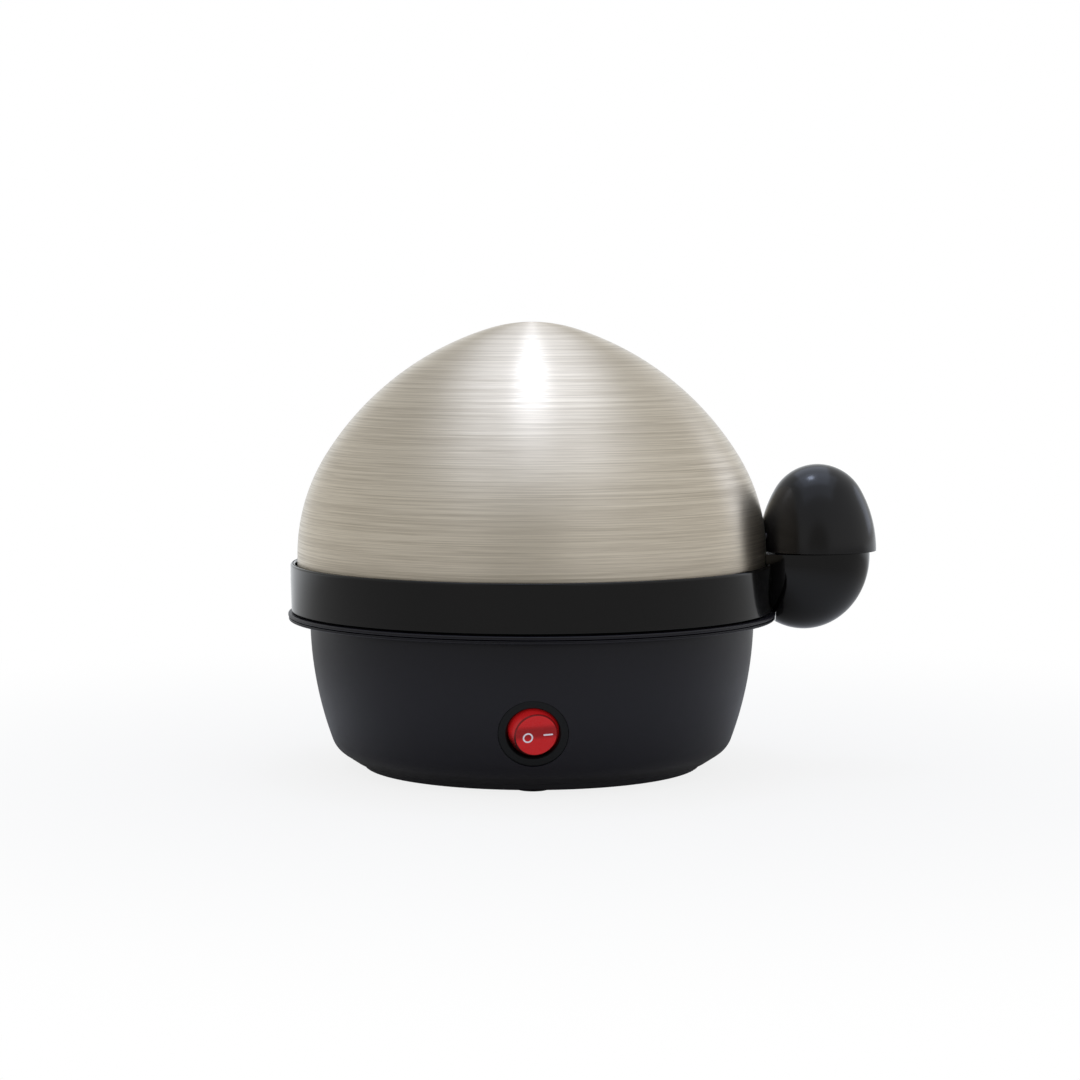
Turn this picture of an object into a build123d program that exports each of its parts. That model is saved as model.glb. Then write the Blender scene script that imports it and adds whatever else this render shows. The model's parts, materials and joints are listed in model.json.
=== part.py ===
from build123d import *
import os
from math import asin, cos, degrees, radians, sin, sqrt, tan

# Electric egg cooker, in millimetres and degrees. The table is z = 0, the round body's axis is
# vertical, the switch faces -Y and the half-egg handles stand out towards +X.

# Round body
flange_radius = 85.0
deck_height = 55.0
deck_rim_thickness = 1.2
rim_groove = 0.25
housing_rim_thickness = 1.0
housing_rim_inset = 0.2
rim_overhang = 7.6
housing_side_curve = 125.0
housing_cone_rise = 2.8
housing_corner_curve = 9.3
housing_cone_slope = 56.7
housing_wall = 2.4
edge_round = 0.4
open_cut = 8.0

# Bottom cover, its feet and screws
foot_proud = 1.0
foot_radius = 5.5
foot_pocket_depth = 1.0
foot_inset = 8.8
foot_count = 4
cover_inset = 18.6
cover_thickness = 2.4
cover_recess_inset = 4.5
cover_recess_depth = 0.8
cover_spigot_wall = 2.0
cover_spigot_height = 3.0
access_hole_inset = 11.8
vent_slot_count = 5
vent_slot_length = 22.0
vent_slot_width = 2.4
vent_slot_pitch = 7.0
vent_slot_place = -20.0
cover_screw_inset = 6.8
cover_screw_length = 9.0
cover_boss_height = 10.0

# Screws: shank radius, head radius and head height, and the plastic round a shank
screw_radius = 1.5
screw_head_radius = 2.7
screw_head_height = 1.1
boss_wall = 2.0

# Clearances
slip_gap = 0.3
screw_gap = 0.1
seat_gap = 0.1
spigot_gap = 0.4

# Deck: the ring that closes the housing and carries the heating plate
deck_thickness = 2.6
deck_hole_inset = 10.4
dam_inset = 12.6
dam_wall = 2.2
dam_height = 2.4
hook_count = 6
hook_width = 9.0
hook_thickness = 1.6
hook_length = 8.0
hook_bite = 0.8
hook_tip_height = 1.6
hook_start_angle = 0.0
catch_height = 1.5

# Heating plate, gasket, studs and clamp ring
plate_sheet = 1.0
plate_rim_gap = 1.3
plate_rim_width = 7.9
plate_wall_run = 6.0
plate_well_depth = 7.2
plate_bend = 1.0
gasket_thickness = 1.2
gasket_lap = 1.0
stud_inset = 5.0
stud_radius = 2.0
stud_length = 8.0
stud_count = 3
stud_start_angle = 90.0
clamp_sheet = 1.2
clamp_width = 24.0
clamp_flat_width = 12.0
clamp_rise_run = 7.0
clamp_lap = 7.0
clamp_drop = 2.8
nut_width = 7.0
nut_height = 3.2

# Heating element under the plate
spreader_gap = 3.0
spreader_thickness = 3.0
element_inset = 7.0
element_tube_radius = 3.3
element_gap_angle = 50.0
element_leg = 4.6
bead_radius = 3.0
bead_height = 2.0
pin_radius = 1.2
tab_width = 6.3
tab_thickness = 0.8
tab_length = 8.0

# Thermostat, its bracket and the thermal fuse
cap_radius = 8.5
cap_height = 4.0
cap_flange_radius = 10.0
cap_flange_height = 1.0
thermostat_body_radius = 8.0
thermostat_body_height = 7.0
thermostat_tab_reach = 16.0
bracket_sheet = 0.8
bracket_width = 22.0
bracket_leg_place = 14.0
bracket_reach = 23.0
bracket_screw_place = 19.0
bracket_screw_length = 3.2
fuse_radius = 2.0
fuse_length = 11.0
fuse_lead_radius = 0.5

# Earth tab on the clamp ring
earth_angle = 30.0
earth_foot = 8.0
rivet_radius = 1.6
rivet_head_radius = 2.8
rivet_head_height = 0.8

# Terminal block that stands on the bottom cover
block_ways = 4
block_pitch = 7.0
block_depth = 12.0
block_height = 12.0
block_place_x = -15.0
block_front_y = 16.0
block_port_radius = 1.6
block_port_height = 6.0
block_screw_head_radius = 2.0
block_screw_place = 3.2
block_screw_depth = 3.6
block_fixing_length = 6.0
block_slot_width = 0.6
block_slot_depth = 0.6

# Wires, with the points that they are led past
wire_radius = 1.1
wire_end_gap = 0.15
wire_bend_share = 0.42
wire_lead_in = 20.0
switched_wire_lead = 11.0
live_wire_way = (-16.0, -30.0, 18.0)
lamp_wire_way = (-3.0, -28.0, 19.0)
neutral_wire_rise = 5.5
neutral_wire_drop_y = 2.0
earth_wire_way = (24.0, 0.0, 18.0)
earth_wire_rise_height = 24.0

# Round rocker switch
switch_height = 21.6
switch_pocket_depth = 2.6
bezel_radius = 11.5
bezel_thickness = 1.6
lens_opening_radius = 8.6
barrel_radius = 9.9
barrel_depth = 13.0
barrel_cavity_depth = 9.6
panel_thickness = 2.4
panel_boss_margin = 2.4
wing_reach = 1.1
wing_length = 5.4
wing_width = 5.0
wing_root = 1.0
switch_tab_width = 4.8
switch_tab_reach = 7.0
switch_tab_place = 5.5

# Rocker, which turns about an upright axis in the switch's face
rocker_gap = 0.25
rocker_face_radius = 6.85
rocker_skirt = 2.0
rocker_wall = 1.3
rocker_tilt = 12.0
rocker_axis_depth = 1.6
trunnion_radius = 1.1
trunnion_reach = 9.3
trunnion_gap = 0.05
plunger_tube_radius = 2.1
plunger_tube_length = 3.0
plunger_radius = 1.42
plunger_gap = 0.08
plunger_length = 4.8
plunger_tip_reach = 5.4
spring_wire = 0.4
mark_thickness = 0.12
mark_line = 0.65
ring_mark_radius = 1.75
bar_mark_length = 3.3
ring_mark_place = 2.8
ring_mark_drop = 0.6
bar_mark_place = 3.95

# Contact lever and fixed contact inside the switch
lever_length = 12.4
lever_width = 3.2
lever_sheet = 0.6
lever_bead_radius = 0.5
lever_tilt = 8.6
lever_tip_gap = 0.06
contact_radius = 1.2
contact_height = 0.5
contact_gap = 0.08
lamp_radius = 1.5
lamp_length = 9.0
lamp_place = 5.0

# Cord gland at the back
gland_sink = 3.25
gland_flange_radius = 7.5
gland_flange_thickness = 1.6
gland_nose_length = 6.4
gland_nose_radius = 5.6
gland_tip_radius = 4.9
gland_neck_radius = 5.1
gland_bore_radius = 3.5
gland_snap_radius = 6.2
gland_tail = 4.5

# Steam collar
collar_height = 17.1
collar_setback = 0.9
collar_draft = 0.3
collar_upright_band = 5.7
collar_wall = 1.6
lip_round_share = 0.42
collar_floor_thickness = 2.0
collar_bore_gap = 0.8
collar_relief_width = 3.8
collar_relief = 0.5
ledge_depth = 6.1
ledge_width = 3.0
ledge_thickness = 1.8
ledge_root = 1.0
floor_corner_round = 0.5

# Egg rack
rack_gap = 6.2
rack_rise = 7.0
rack_sheet = 1.8
rack_rim_wall = 2.0
egg_inset = 28.0
egg_hole_radius = 17.5
egg_ring_count = 6
egg_lip_wall = 1.5
egg_lip_depth = 2.2
steam_hole_radius = 3.6
outer_steam_hole_radius = 3.0
outer_steam_inset = 9.0
outer_steam_angles = (30.0, 150.0, 210.0, 330.0)
grip_inset = 8.0
grip_width = 16.0
grip_thickness = 2.4
grip_height = 8.0
grip_hole_radius = 2.4
grip_round = 2.0

# Lid
lid_gap = 0.8
lid_sheet = 0.7
lid_skirt = 8.8
lid_side_curve = 65.45
lid_side_turn = 32.0
lid_shoulder_curve = 103.2
lid_shoulder_turn = 40.35
hem_height = 2.0
hem_thickness = 1.4

# Half-egg handles
handle_reach = 18.1
handle_radius = 20.5
handle_rise = 10.0
handle_side_curve = 43.0
handle_side_turn = 30.0
handle_wall = 2.0
handle_saddle_wall = 2.6
handle_boss_length = 7.0
lid_screw_rise = 5.0
lid_screw_spread = 4.9
lid_screw_length = 9.0
washer_radius = 4.0
washer_thickness = 0.8
lower_egg_setback = 4.7
lower_egg_drop = 1.8
lower_egg_radius_x = 23.0
lower_egg_radius_y = 19.0
lower_egg_radius_z = 25.8
handle_parting = 0.4
lower_cap_thickness = 1.8
lower_cap_step = 0.9
lower_screw_spread = 5.4
lower_screw_length = 9.0

# Worked out from the sizes above
housing_top_radius = flange_radius - rim_overhang
cover_radius = housing_top_radius - cover_inset
cover_screw_start_angle = 180 / foot_count
foot_circle = cover_radius - foot_inset
cover_screw_circle = cover_radius - cover_screw_inset
access_hole_radius = cover_radius - access_hole_inset
cover_recess_radius = access_hole_radius - cover_recess_inset
dam_radius = flange_radius - dam_inset
deck_hole_radius = dam_radius - deck_hole_inset
housing_bottom = foot_proud + cover_thickness
floor_top = housing_bottom + housing_wall
rim_top = deck_height - deck_rim_thickness - rim_groove
rim_bottom = rim_top - housing_rim_thickness
housing_corner_drop = housing_corner_curve * sin(radians(housing_cone_slope))
housing_side_drop = rim_top - housing_bottom - housing_cone_rise - housing_corner_drop
housing_side_turn = degrees(asin(housing_side_drop / (housing_side_curve - housing_corner_curve)))
deck_bottom = deck_height - deck_thickness
spigot_radius = housing_top_radius - housing_wall - spigot_gap
hook_tip_radius = spigot_radius - 2 * slip_gap
dam_inner_radius = dam_radius - dam_wall
plate_rim_radius = dam_inner_radius - plate_rim_gap
plate_well_radius = plate_rim_radius - plate_rim_width - plate_wall_run
clamp_outer_radius = deck_hole_radius + clamp_lap
clamp_inner_radius = clamp_outer_radius - clamp_width
stud_circle = clamp_inner_radius + stud_inset
spreader_radius = clamp_inner_radius - spreader_gap
element_circle = spreader_radius - element_inset
plate_rim_bottom = deck_height + gasket_thickness
plate_top = plate_rim_bottom + plate_sheet
well_floor = plate_top - plate_well_depth
plate_bottom = well_floor - plate_sheet
clamp_top = plate_bottom - clamp_drop
spreader_bottom = plate_bottom - spreader_thickness
element_height = spreader_bottom - element_tube_radius - seat_gap
bead_top = element_height - element_leg
tab_top = bead_top - bead_height
cap_bottom = spreader_bottom - cap_height
thermostat_bottom = cap_bottom - thermostat_body_height
collar_top_height = deck_height + collar_height
collar_top_radius = flange_radius - collar_setback
collar_foot_radius = collar_top_radius - collar_draft
collar_relief_radius = collar_foot_radius - collar_relief_width
ledge_height = collar_top_height - ledge_depth
ledge_bottom = ledge_height - ledge_thickness
collar_floor_top = deck_height + collar_floor_thickness
collar_inner_top_radius = collar_top_radius - collar_wall
collar_inner_foot_radius = collar_foot_radius - collar_wall
collar_bore_radius = dam_radius + collar_bore_gap
rack_radius = collar_inner_foot_radius - rack_gap
rack_floor_height = collar_floor_top + rack_rise
egg_circle = rack_radius - egg_inset
outer_steam_circle = rack_radius - outer_steam_inset
grip_place = rack_radius - grip_inset
lid_radius = collar_inner_top_radius - lid_gap
lid_spring_height = ledge_height + lid_skirt
handle_axis = lid_radius + handle_reach
handle_bottom_height = ledge_height + handle_rise
lid_screw_height = handle_bottom_height + lid_screw_rise
lower_egg_axis = handle_axis - lower_egg_setback
lower_egg_centre_height = handle_bottom_height - lower_egg_drop
lower_screw_height = (collar_floor_top + ledge_bottom - ledge_root) / 2
body_axis_x = -(handle_axis + handle_radius - flange_radius) / 2


def turned(points, rounds=None):
    """Solid turned about the body's axis from (radius, height) points."""
    if rounds is None:
        outline = Polyline(*points, close=True)
    else:
        outline = FilletPolyline(*points, radius=rounds, close=True)
    return revolve(make_face(Plane.XZ * outline), Axis.Z)


def tube(outer, inner, bottom, top):
    """Plain ring between two heights."""
    ring = Circle(outer) - Circle(inner)
    return extrude(Pos(0, 0, bottom) * ring, top - bottom)


def rod(radius, bottom, top):
    """Plain round bar between two heights."""
    return extrude(Pos(0, 0, bottom) * Circle(radius), top - bottom)


def block(low, high):
    """Box between two opposite corners."""
    size = [high[i] - low[i] for i in range(3)]
    centre = [(high[i] + low[i]) / 2 for i in range(3)]
    return Pos(*centre) * Box(*size)


def around(count, radius, piece, first=0.0):
    """Copies of a piece, each pushed out by a radius and turned about the body's axis."""
    return [Rot(0, 0, first + 360 * i / count) * Pos(radius, 0, 0) * piece for i in range(count)]


def screw(length):
    """Pan-head screw whose seat is at z = 0 and whose shank points up; its thread is plain."""
    return rod(screw_radius, 0, length) + rod(screw_head_radius, -screw_head_height, 0)


def on_arc(centre, radius, angle):
    """Point of a circle in the half section, by its angle above the horizontal."""
    return (centre[0] + radius * cos(radians(angle)), centre[1] + radius * sin(radians(angle)))


def bowl(inset, bottom):
    """Solid inside the housing's side, moved in by inset, from a height up to the rim."""
    side_centre = (housing_top_radius - housing_side_curve, rim_top)
    corner_centre = on_arc(side_centre, housing_side_curve - housing_corner_curve, -housing_side_turn)
    side_radius = housing_side_curve - inset
    corner_radius = housing_corner_curve - inset
    upright = on_arc(side_centre, side_radius, 0)
    side_mid = on_arc(side_centre, side_radius, -housing_side_turn / 2)
    side_end = on_arc(side_centre, side_radius, -housing_side_turn)
    corner_mid = on_arc(corner_centre, corner_radius, -(housing_side_turn + housing_cone_slope) / 2)
    corner_end = on_arc(corner_centre, corner_radius, -housing_cone_slope)
    cone_run = (corner_end[1] - bottom) * tan(radians(housing_cone_slope))
    cone_end = (corner_end[0] - cone_run, bottom)
    edges = [
        Line((0, bottom), cone_end),
        Line(cone_end, corner_end),
        ThreePointArc(corner_end, corner_mid, side_end),
        ThreePointArc(side_end, side_mid, upright),
        Line(upright, (0, rim_top)),
        Line((0, rim_top), (0, bottom)),
    ]
    return revolve(make_face([Plane.XZ * edge for edge in edges]), Axis.Z)


def side_radius_at(height):
    """Outer radius of the housing's long side curve at a height."""
    drop = rim_top - height
    return housing_top_radius - housing_side_curve + sqrt(housing_side_curve**2 - drop**2)


# The switch's own frame lies on the floor of its pocket: x to the right, y up the slope of the wall,
# z straight out of the wall.
switch_slope = degrees(asin((rim_top - switch_height) / housing_side_curve))
switch_out = Vector(0, -cos(radians(switch_slope)), -sin(radians(switch_slope)))
switch_surface = Vector(0, -side_radius_at(switch_height), switch_height)
switch_plane = Plane(switch_surface - switch_out * switch_pocket_depth, x_dir=(1, 0, 0), z_dir=switch_out)
gland_face_place = side_radius_at(switch_height) - gland_sink
gland_plane = Plane((0, gland_face_place, switch_height), x_dir=(1, 0, 0), z_dir=(0, 1, 0))


def base_housing():
    """Bowl with a rim, a floor ring, screw bosses, a switch pocket and a hole for the gland."""
    outside = bowl(0, housing_bottom)
    rim = turned(
        [
            (housing_top_radius - housing_wall, rim_bottom),
            (flange_radius - housing_rim_inset, rim_bottom),
            (flange_radius - housing_rim_inset, rim_top),
            (housing_top_radius - housing_wall, rim_top),
        ],
        [0, edge_round, 0, 0],
    )
    cavity = bowl(housing_wall, floor_top)
    pad_radius = bezel_radius + slip_gap + panel_boss_margin
    switch_pad = switch_plane * rod(pad_radius, -panel_thickness, switch_pocket_depth)
    gland_pad_radius = gland_flange_radius + slip_gap + panel_boss_margin
    gland_pad = gland_plane * rod(gland_pad_radius, -panel_thickness, panel_boss_margin)
    shell = (outside - cavity) + (switch_pad & outside) + (gland_pad & outside) + rim
    shell -= rod(access_hole_radius, 0, floor_top + seat_gap)
    boss = rod(screw_radius + screw_gap + boss_wall, floor_top, floor_top + cover_boss_height)
    pilot = rod(screw_radius + screw_gap, 0, housing_bottom + cover_screw_length)
    catch = block(
        (hook_tip_radius - hook_bite + slip_gap, -hook_width / 2, catch_bottom()),
        (housing_top_radius, hook_width / 2, catch_bottom() + catch_height),
    )
    for piece in around(foot_count, cover_screw_circle, boss, cover_screw_start_angle):
        shell += piece
    for piece in around(foot_count, cover_screw_circle, pilot, cover_screw_start_angle):
        shell -= piece
    for piece in around(hook_count, 0, catch, hook_start_angle):
        shell += piece & outside
    shell -= switch_plane * rod(bezel_radius + slip_gap, 0, open_cut)
    shell -= switch_plane * rod(barrel_radius + slip_gap, -open_cut, open_cut)
    shell -= gland_plane * rod(gland_flange_radius + slip_gap, 0, open_cut)
    shell -= gland_plane * rod(gland_neck_radius + slip_gap, -open_cut, open_cut)
    return shell


def catch_bottom():
    """Height of the ribs that the deck's hooks catch under."""
    return deck_bottom - hook_length + hook_tip_height + slip_gap


def base_deck():
    """Ring on top of the housing: rim, spigot, dam round the plate, and hooks."""
    ring = turned(
        [
            (deck_hole_radius, deck_bottom),
            (spigot_radius, deck_bottom),
            (spigot_radius, deck_height - deck_rim_thickness),
            (flange_radius, deck_height - deck_rim_thickness),
            (flange_radius, deck_height),
            (dam_radius, deck_height),
            (dam_radius, deck_height + dam_height),
            (dam_inner_radius, deck_height + dam_height),
            (dam_inner_radius, deck_height),
            (deck_hole_radius, deck_height),
        ],
        [0, edge_round, 0, edge_round, edge_round, edge_round, edge_round, edge_round, 0, 0],
    )
    hook_bottom = deck_bottom - hook_length
    back = hook_tip_radius - hook_bite - hook_thickness
    tongue = block(
        (back, -hook_width / 2, hook_bottom),
        (back + hook_thickness, hook_width / 2, deck_bottom + seat_gap),
    )
    barb = block(
        (back, -hook_width / 2, hook_bottom),
        (back + hook_thickness + hook_bite, hook_width / 2, hook_bottom + hook_tip_height),
    )
    for piece in around(hook_count, 0, tongue + barb, hook_start_angle):
        ring += piece
    return ring


def bottom_cover():
    """Plate with a raised middle, a spigot, pockets for the feet and holes for the screws."""
    plate = turned(
        [
            (0, foot_proud + cover_recess_depth),
            (cover_recess_radius, foot_proud + cover_recess_depth),
            (cover_recess_radius, foot_proud),
            (cover_radius, foot_proud),
            (cover_radius, housing_bottom),
            (0, housing_bottom),
        ],
        [0, 0, 0, edge_round, edge_round, 0],
    )
    spigot_outer = access_hole_radius - spigot_gap
    spigot_top = housing_bottom + cover_spigot_height
    plate += tube(spigot_outer, spigot_outer - cover_spigot_wall, housing_bottom, spigot_top)
    pocket = rod(foot_radius + slip_gap, 0, foot_proud + foot_pocket_depth)
    for piece in around(foot_count, foot_circle, pocket):
        plate -= piece
    head_hole = rod(screw_head_radius + slip_gap, 0, foot_proud + screw_head_height + seat_gap)
    hole = rod(screw_radius + screw_gap, 0, housing_bottom) + head_hole
    for piece in around(foot_count, cover_screw_circle, hole, cover_screw_start_angle):
        plate -= piece
    for i in range(vent_slot_count):
        slot = extrude(SlotOverall(vent_slot_length, vent_slot_width), housing_bottom)
        plate -= Pos(0, vent_slot_place + vent_slot_pitch * (i - (vent_slot_count - 1) / 2), 0) * slot
    plate -= Pos(block_place_x, block_middle_y(), 0) * rod(screw_radius + screw_gap, 0, housing_bottom)
    return plate


def rubber_feet():
    """Round pads pressed into the cover, standing proud of it."""
    top = foot_proud + foot_pocket_depth
    pad = turned(
        [(0, 0), (foot_radius, 0), (foot_radius, top), (0, top)],
        [0, edge_round, 0, 0],
    )
    return around(foot_count, foot_circle, pad)


def cover_screws():
    """Screws that hold the cover to the housing's bosses."""
    length = cover_screw_length + cover_thickness - screw_head_height - 2 * seat_gap
    seat = foot_proud + screw_head_height + seat_gap
    return around(foot_count, cover_screw_circle, Pos(0, 0, seat) * screw(length), cover_screw_start_angle)


def heating_plate():
    """Pressed steel dish with a flat rim on the gasket."""
    slope = plate_wall_run / plate_well_depth
    skew = plate_sheet * (sqrt(1 + slope**2) - slope)
    outer_bend = plate_bend + plate_sheet
    return turned(
        [
            (0, plate_bottom),
            (plate_well_radius + skew, plate_bottom),
            (plate_well_radius + plate_wall_run + skew, plate_rim_bottom),
            (plate_rim_radius, plate_rim_bottom),
            (plate_rim_radius, plate_top),
            (plate_well_radius + plate_wall_run, plate_top),
            (plate_well_radius, well_floor),
            (0, well_floor),
        ],
        [0, outer_bend, plate_bend, 0, 0, outer_bend, plate_bend, 0],
    )


def plate_gasket():
    """Silicone ring between the plate's rim and the deck."""
    return tube(plate_rim_radius + gasket_lap, deck_hole_radius + gasket_lap, deck_height, plate_rim_bottom)


def plate_studs():
    """Studs welded under the plate, which pull it down."""
    stud = rod(stud_radius, plate_bottom - stud_length, plate_bottom)
    return around(stud_count, stud_circle, stud, stud_start_angle)


def clamp_ring():
    """Stepped steel ring that bears on the deck from below and is drawn up by the studs' nuts."""
    flat_end = clamp_inner_radius + clamp_flat_width
    rise_end = flat_end + clamp_rise_run
    low = clamp_top - clamp_sheet
    ring = turned(
        [
            (clamp_inner_radius, low),
            (flat_end + clamp_sheet, low),
            (rise_end + clamp_sheet, deck_bottom - clamp_sheet),
            (clamp_outer_radius, deck_bottom - clamp_sheet),
            (clamp_outer_radius, deck_bottom),
            (rise_end, deck_bottom),
            (flat_end, clamp_top),
            (clamp_inner_radius, clamp_top),
        ]
    )
    hole = rod(stud_radius + slip_gap, low, clamp_top)
    for piece in around(stud_count, stud_circle, hole, stud_start_angle):
        ring -= piece
    ring -= earth_turn() * rod(rivet_radius + screw_gap, low, clamp_top)
    return ring


def clamp_nuts():
    """Hexagon nuts on the studs."""
    top = clamp_top - clamp_sheet
    sketch = RegularPolygon(nut_width / 2, 6, major_radius=False) - Circle(stud_radius + screw_gap)
    nut = extrude(Pos(0, 0, top - nut_height) * sketch, nut_height)
    return around(stud_count, stud_circle, nut, stud_start_angle)


def heat_spreader():
    """Aluminium disc pressed against the plate, with blind holes for the bracket's screws."""
    disc = rod(spreader_radius, spreader_bottom, plate_bottom)
    for side in (-1, 1):
        depth = bracket_screw_length - bracket_sheet + seat_gap
        hole = rod(screw_radius + screw_gap, spreader_bottom, spreader_bottom + depth)
        disc -= Pos(side * bracket_screw_place, 0, 0) * hole
    return disc


def element_end_angles():
    """Directions of the element's two ends, either side of the back."""
    return (90 - element_gap_angle / 2, 90 + element_gap_angle / 2)


def element_turn(angle):
    """Place of one end of the element."""
    return Rot(0, 0, angle) * Pos(element_circle, 0, 0)


def heating_element():
    """Open ring of sheathed tube whose two ends turn down."""
    section = Pos(element_circle, 0, element_height) * Rot(90, 0, 0) * Circle(element_tube_radius)
    first, last = element_end_angles()
    ring = revolve(Rot(0, 0, last) * section, Axis.Z, 360 - element_gap_angle)
    for angle in (first, last):
        knee = Pos(0, 0, element_height) * Sphere(element_tube_radius)
        leg = rod(element_tube_radius, bead_top, element_height)
        ring += element_turn(angle) * knee
        ring += element_turn(angle) * leg
    hole = rod(pin_radius + screw_gap, bead_top, bead_top + element_leg / 2)
    for angle in (first, last):
        ring -= element_turn(angle) * hole
    return ring


def element_insulators():
    """Ceramic beads that close the element's ends."""
    bead = tube(bead_radius, pin_radius + screw_gap, tab_top, bead_top)
    return [element_turn(angle) * bead for angle in element_end_angles()]


def element_terminals():
    """Pins of the element, each with a flat tab."""
    pin = rod(pin_radius, tab_top, bead_top + element_leg / 2 - seat_gap)
    tab = block(
        (-tab_width / 2, -tab_thickness / 2, tab_top - tab_length),
        (tab_width / 2, tab_thickness / 2, tab_top),
    )
    return [element_turn(angle) * Rot(0, 0, -angle) * (pin + tab) for angle in element_end_angles()]


def thermostat():
    """Sealed snap disc in a metal cap, on a moulded body with two flat tabs."""
    cap = rod(cap_radius, cap_bottom, spreader_bottom)
    cap += rod(cap_flange_radius, cap_bottom, cap_bottom + cap_flange_height)
    body = rod(thermostat_body_radius, thermostat_bottom, cap_bottom)
    tabs = block(
        (-tab_width / 2, -thermostat_tab_reach, thermostat_bottom - tab_thickness),
        (tab_width / 2, thermostat_tab_reach, thermostat_bottom),
    )
    tabs -= block(
        (-tab_width, -thermostat_body_radius / 2, thermostat_bottom - tab_thickness),
        (tab_width, thermostat_body_radius / 2, thermostat_bottom),
    )
    return cap + body + tabs


def thermostat_bracket():
    """Hat-shaped strap that presses the thermostat's flange up against the spreader."""
    half = bracket_width / 2
    strap_bottom = cap_bottom - bracket_sheet
    strap = block((-bracket_leg_place, -half, strap_bottom), (bracket_leg_place, half, cap_bottom))
    for side in (-1, 1):
        leg_in = side * (bracket_leg_place - bracket_sheet)
        leg_out = side * bracket_leg_place
        foot_end = side * bracket_reach
        strap += block(
            (min(leg_in, leg_out), -half, strap_bottom),
            (max(leg_in, leg_out), half, spreader_bottom),
        )
        strap += block(
            (min(leg_in, foot_end), -half, spreader_bottom - bracket_sheet),
            (max(leg_in, foot_end), half, spreader_bottom),
        )
        hole = rod(screw_radius + screw_gap, spreader_bottom - bracket_sheet, spreader_bottom)
        strap -= Pos(side * bracket_screw_place, 0, 0) * hole
    strap -= rod(thermostat_body_radius + slip_gap, strap_bottom, cap_bottom)
    return strap


def thermostat_screws():
    """Screws through the bracket's feet into the spreader."""
    seat = spreader_bottom - bracket_sheet
    return [Pos(side * bracket_screw_place, 0, seat) * screw(bracket_screw_length) for side in (-1, 1)]


def thermal_fuse():
    """One-shot fuse between the thermostat's back tab and the element."""
    clear = fuse_lead_radius + wire_end_gap
    start = Vector(0, thermostat_tab_reach + clear, thermostat_bottom - tab_thickness / 2)
    angle = element_end_angles()[0]
    tab = Vector(element_circle * cos(radians(angle)), element_circle * sin(radians(angle)), start.Z)
    away = (tab - start).normalized()
    end = tab - away * ((tab_thickness / 2 + clear) / away.Y)
    span = (end - start).length
    lead = Plane(start, z_dir=away) * rod(fuse_lead_radius, 0, span)
    body = rod(fuse_radius, (span - fuse_length) / 2, (span + fuse_length) / 2)
    return lead + Plane(start, z_dir=away) * body


def earth_turn():
    """Place of the earth tab's rivet under the clamp ring."""
    return Rot(0, 0, earth_angle) * Pos(clamp_inner_radius + clamp_flat_width / 2, 0, 0)


def earth_tab():
    """Angle of brass under the clamp ring, for the earth wire."""
    top = clamp_top - clamp_sheet
    half = earth_foot / 2
    foot = block((-half, -half, top - tab_thickness), (half, half, top))
    foot -= rod(rivet_radius + screw_gap, top - tab_thickness, top)
    blade = block(
        (-half, -tab_width / 2, top - tab_thickness - tab_length),
        (-half + tab_thickness, tab_width / 2, top),
    )
    return earth_turn() * (foot + blade)


def earth_rivet():
    """Rivet that holds the earth tab to the clamp ring."""
    low = clamp_top - clamp_sheet - tab_thickness
    shank = rod(rivet_radius, low, clamp_top)
    heads = rod(rivet_head_radius, low - rivet_head_height, low)
    heads += rod(rivet_head_radius, clamp_top, clamp_top + rivet_head_height)
    return earth_turn() * (shank + heads)


def block_port_x(way):
    """Sideways place of one way of the terminal block."""
    return block_place_x + block_pitch * (way - (block_ways - 1) / 2)


def block_middle_y():
    """Middle of the terminal block, front to back."""
    return block_front_y + block_depth / 2


def terminal_block():
    """Moulded block with a through port and a clamping screw for each way."""
    half = block_pitch * block_ways / 2
    low = (block_place_x - half, block_front_y, housing_bottom)
    high = (block_place_x + half, block_front_y + block_depth, housing_bottom + block_height)
    body = block(low, high)
    port = Rot(90, 0, 0) * rod(block_port_radius, -block_depth, 0)
    top = housing_bottom + block_height
    shaft = rod(block_screw_head_radius + screw_gap, top - block_screw_depth, top)
    for way in range(block_ways):
        body -= Pos(block_port_x(way), block_front_y, housing_bottom + block_port_height) * port
        for place in (block_screw_place, block_depth - block_screw_place):
            body -= Pos(block_port_x(way), block_front_y + place, 0) * shaft
    fixing = rod(screw_radius + screw_gap, housing_bottom, housing_bottom + block_fixing_length)
    body -= Pos(block_place_x, block_middle_y(), 0) * fixing
    return body


def terminal_screws():
    """Slotted clamping screws of the terminal block, two to a way, just below its top."""
    low = housing_bottom + block_height - block_screw_depth
    high = low + block_screw_depth - slip_gap
    slug = rod(block_screw_head_radius, low, high)
    slot = block(
        (-block_screw_head_radius, -block_slot_width / 2, high - block_slot_depth),
        (block_screw_head_radius, block_slot_width / 2, high),
    )
    places = (block_screw_place, block_depth - block_screw_place)
    return [
        Pos(block_port_x(way), block_front_y + place, 0) * (slug - slot)
        for way in range(block_ways)
        for place in places
    ]


def block_screw():
    """Screw from below that fixes the terminal block to the cover."""
    seat = foot_proud + cover_recess_depth
    length = block_fixing_length + housing_bottom - seat - seat_gap
    return Pos(block_place_x, block_middle_y(), seat) * low_head_screw(length)


def low_head_screw(length):
    """Screw whose flat head stays clear of the table."""
    return rod(screw_radius, 0, length) + rod(screw_head_radius, -cover_recess_depth, 0)


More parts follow.
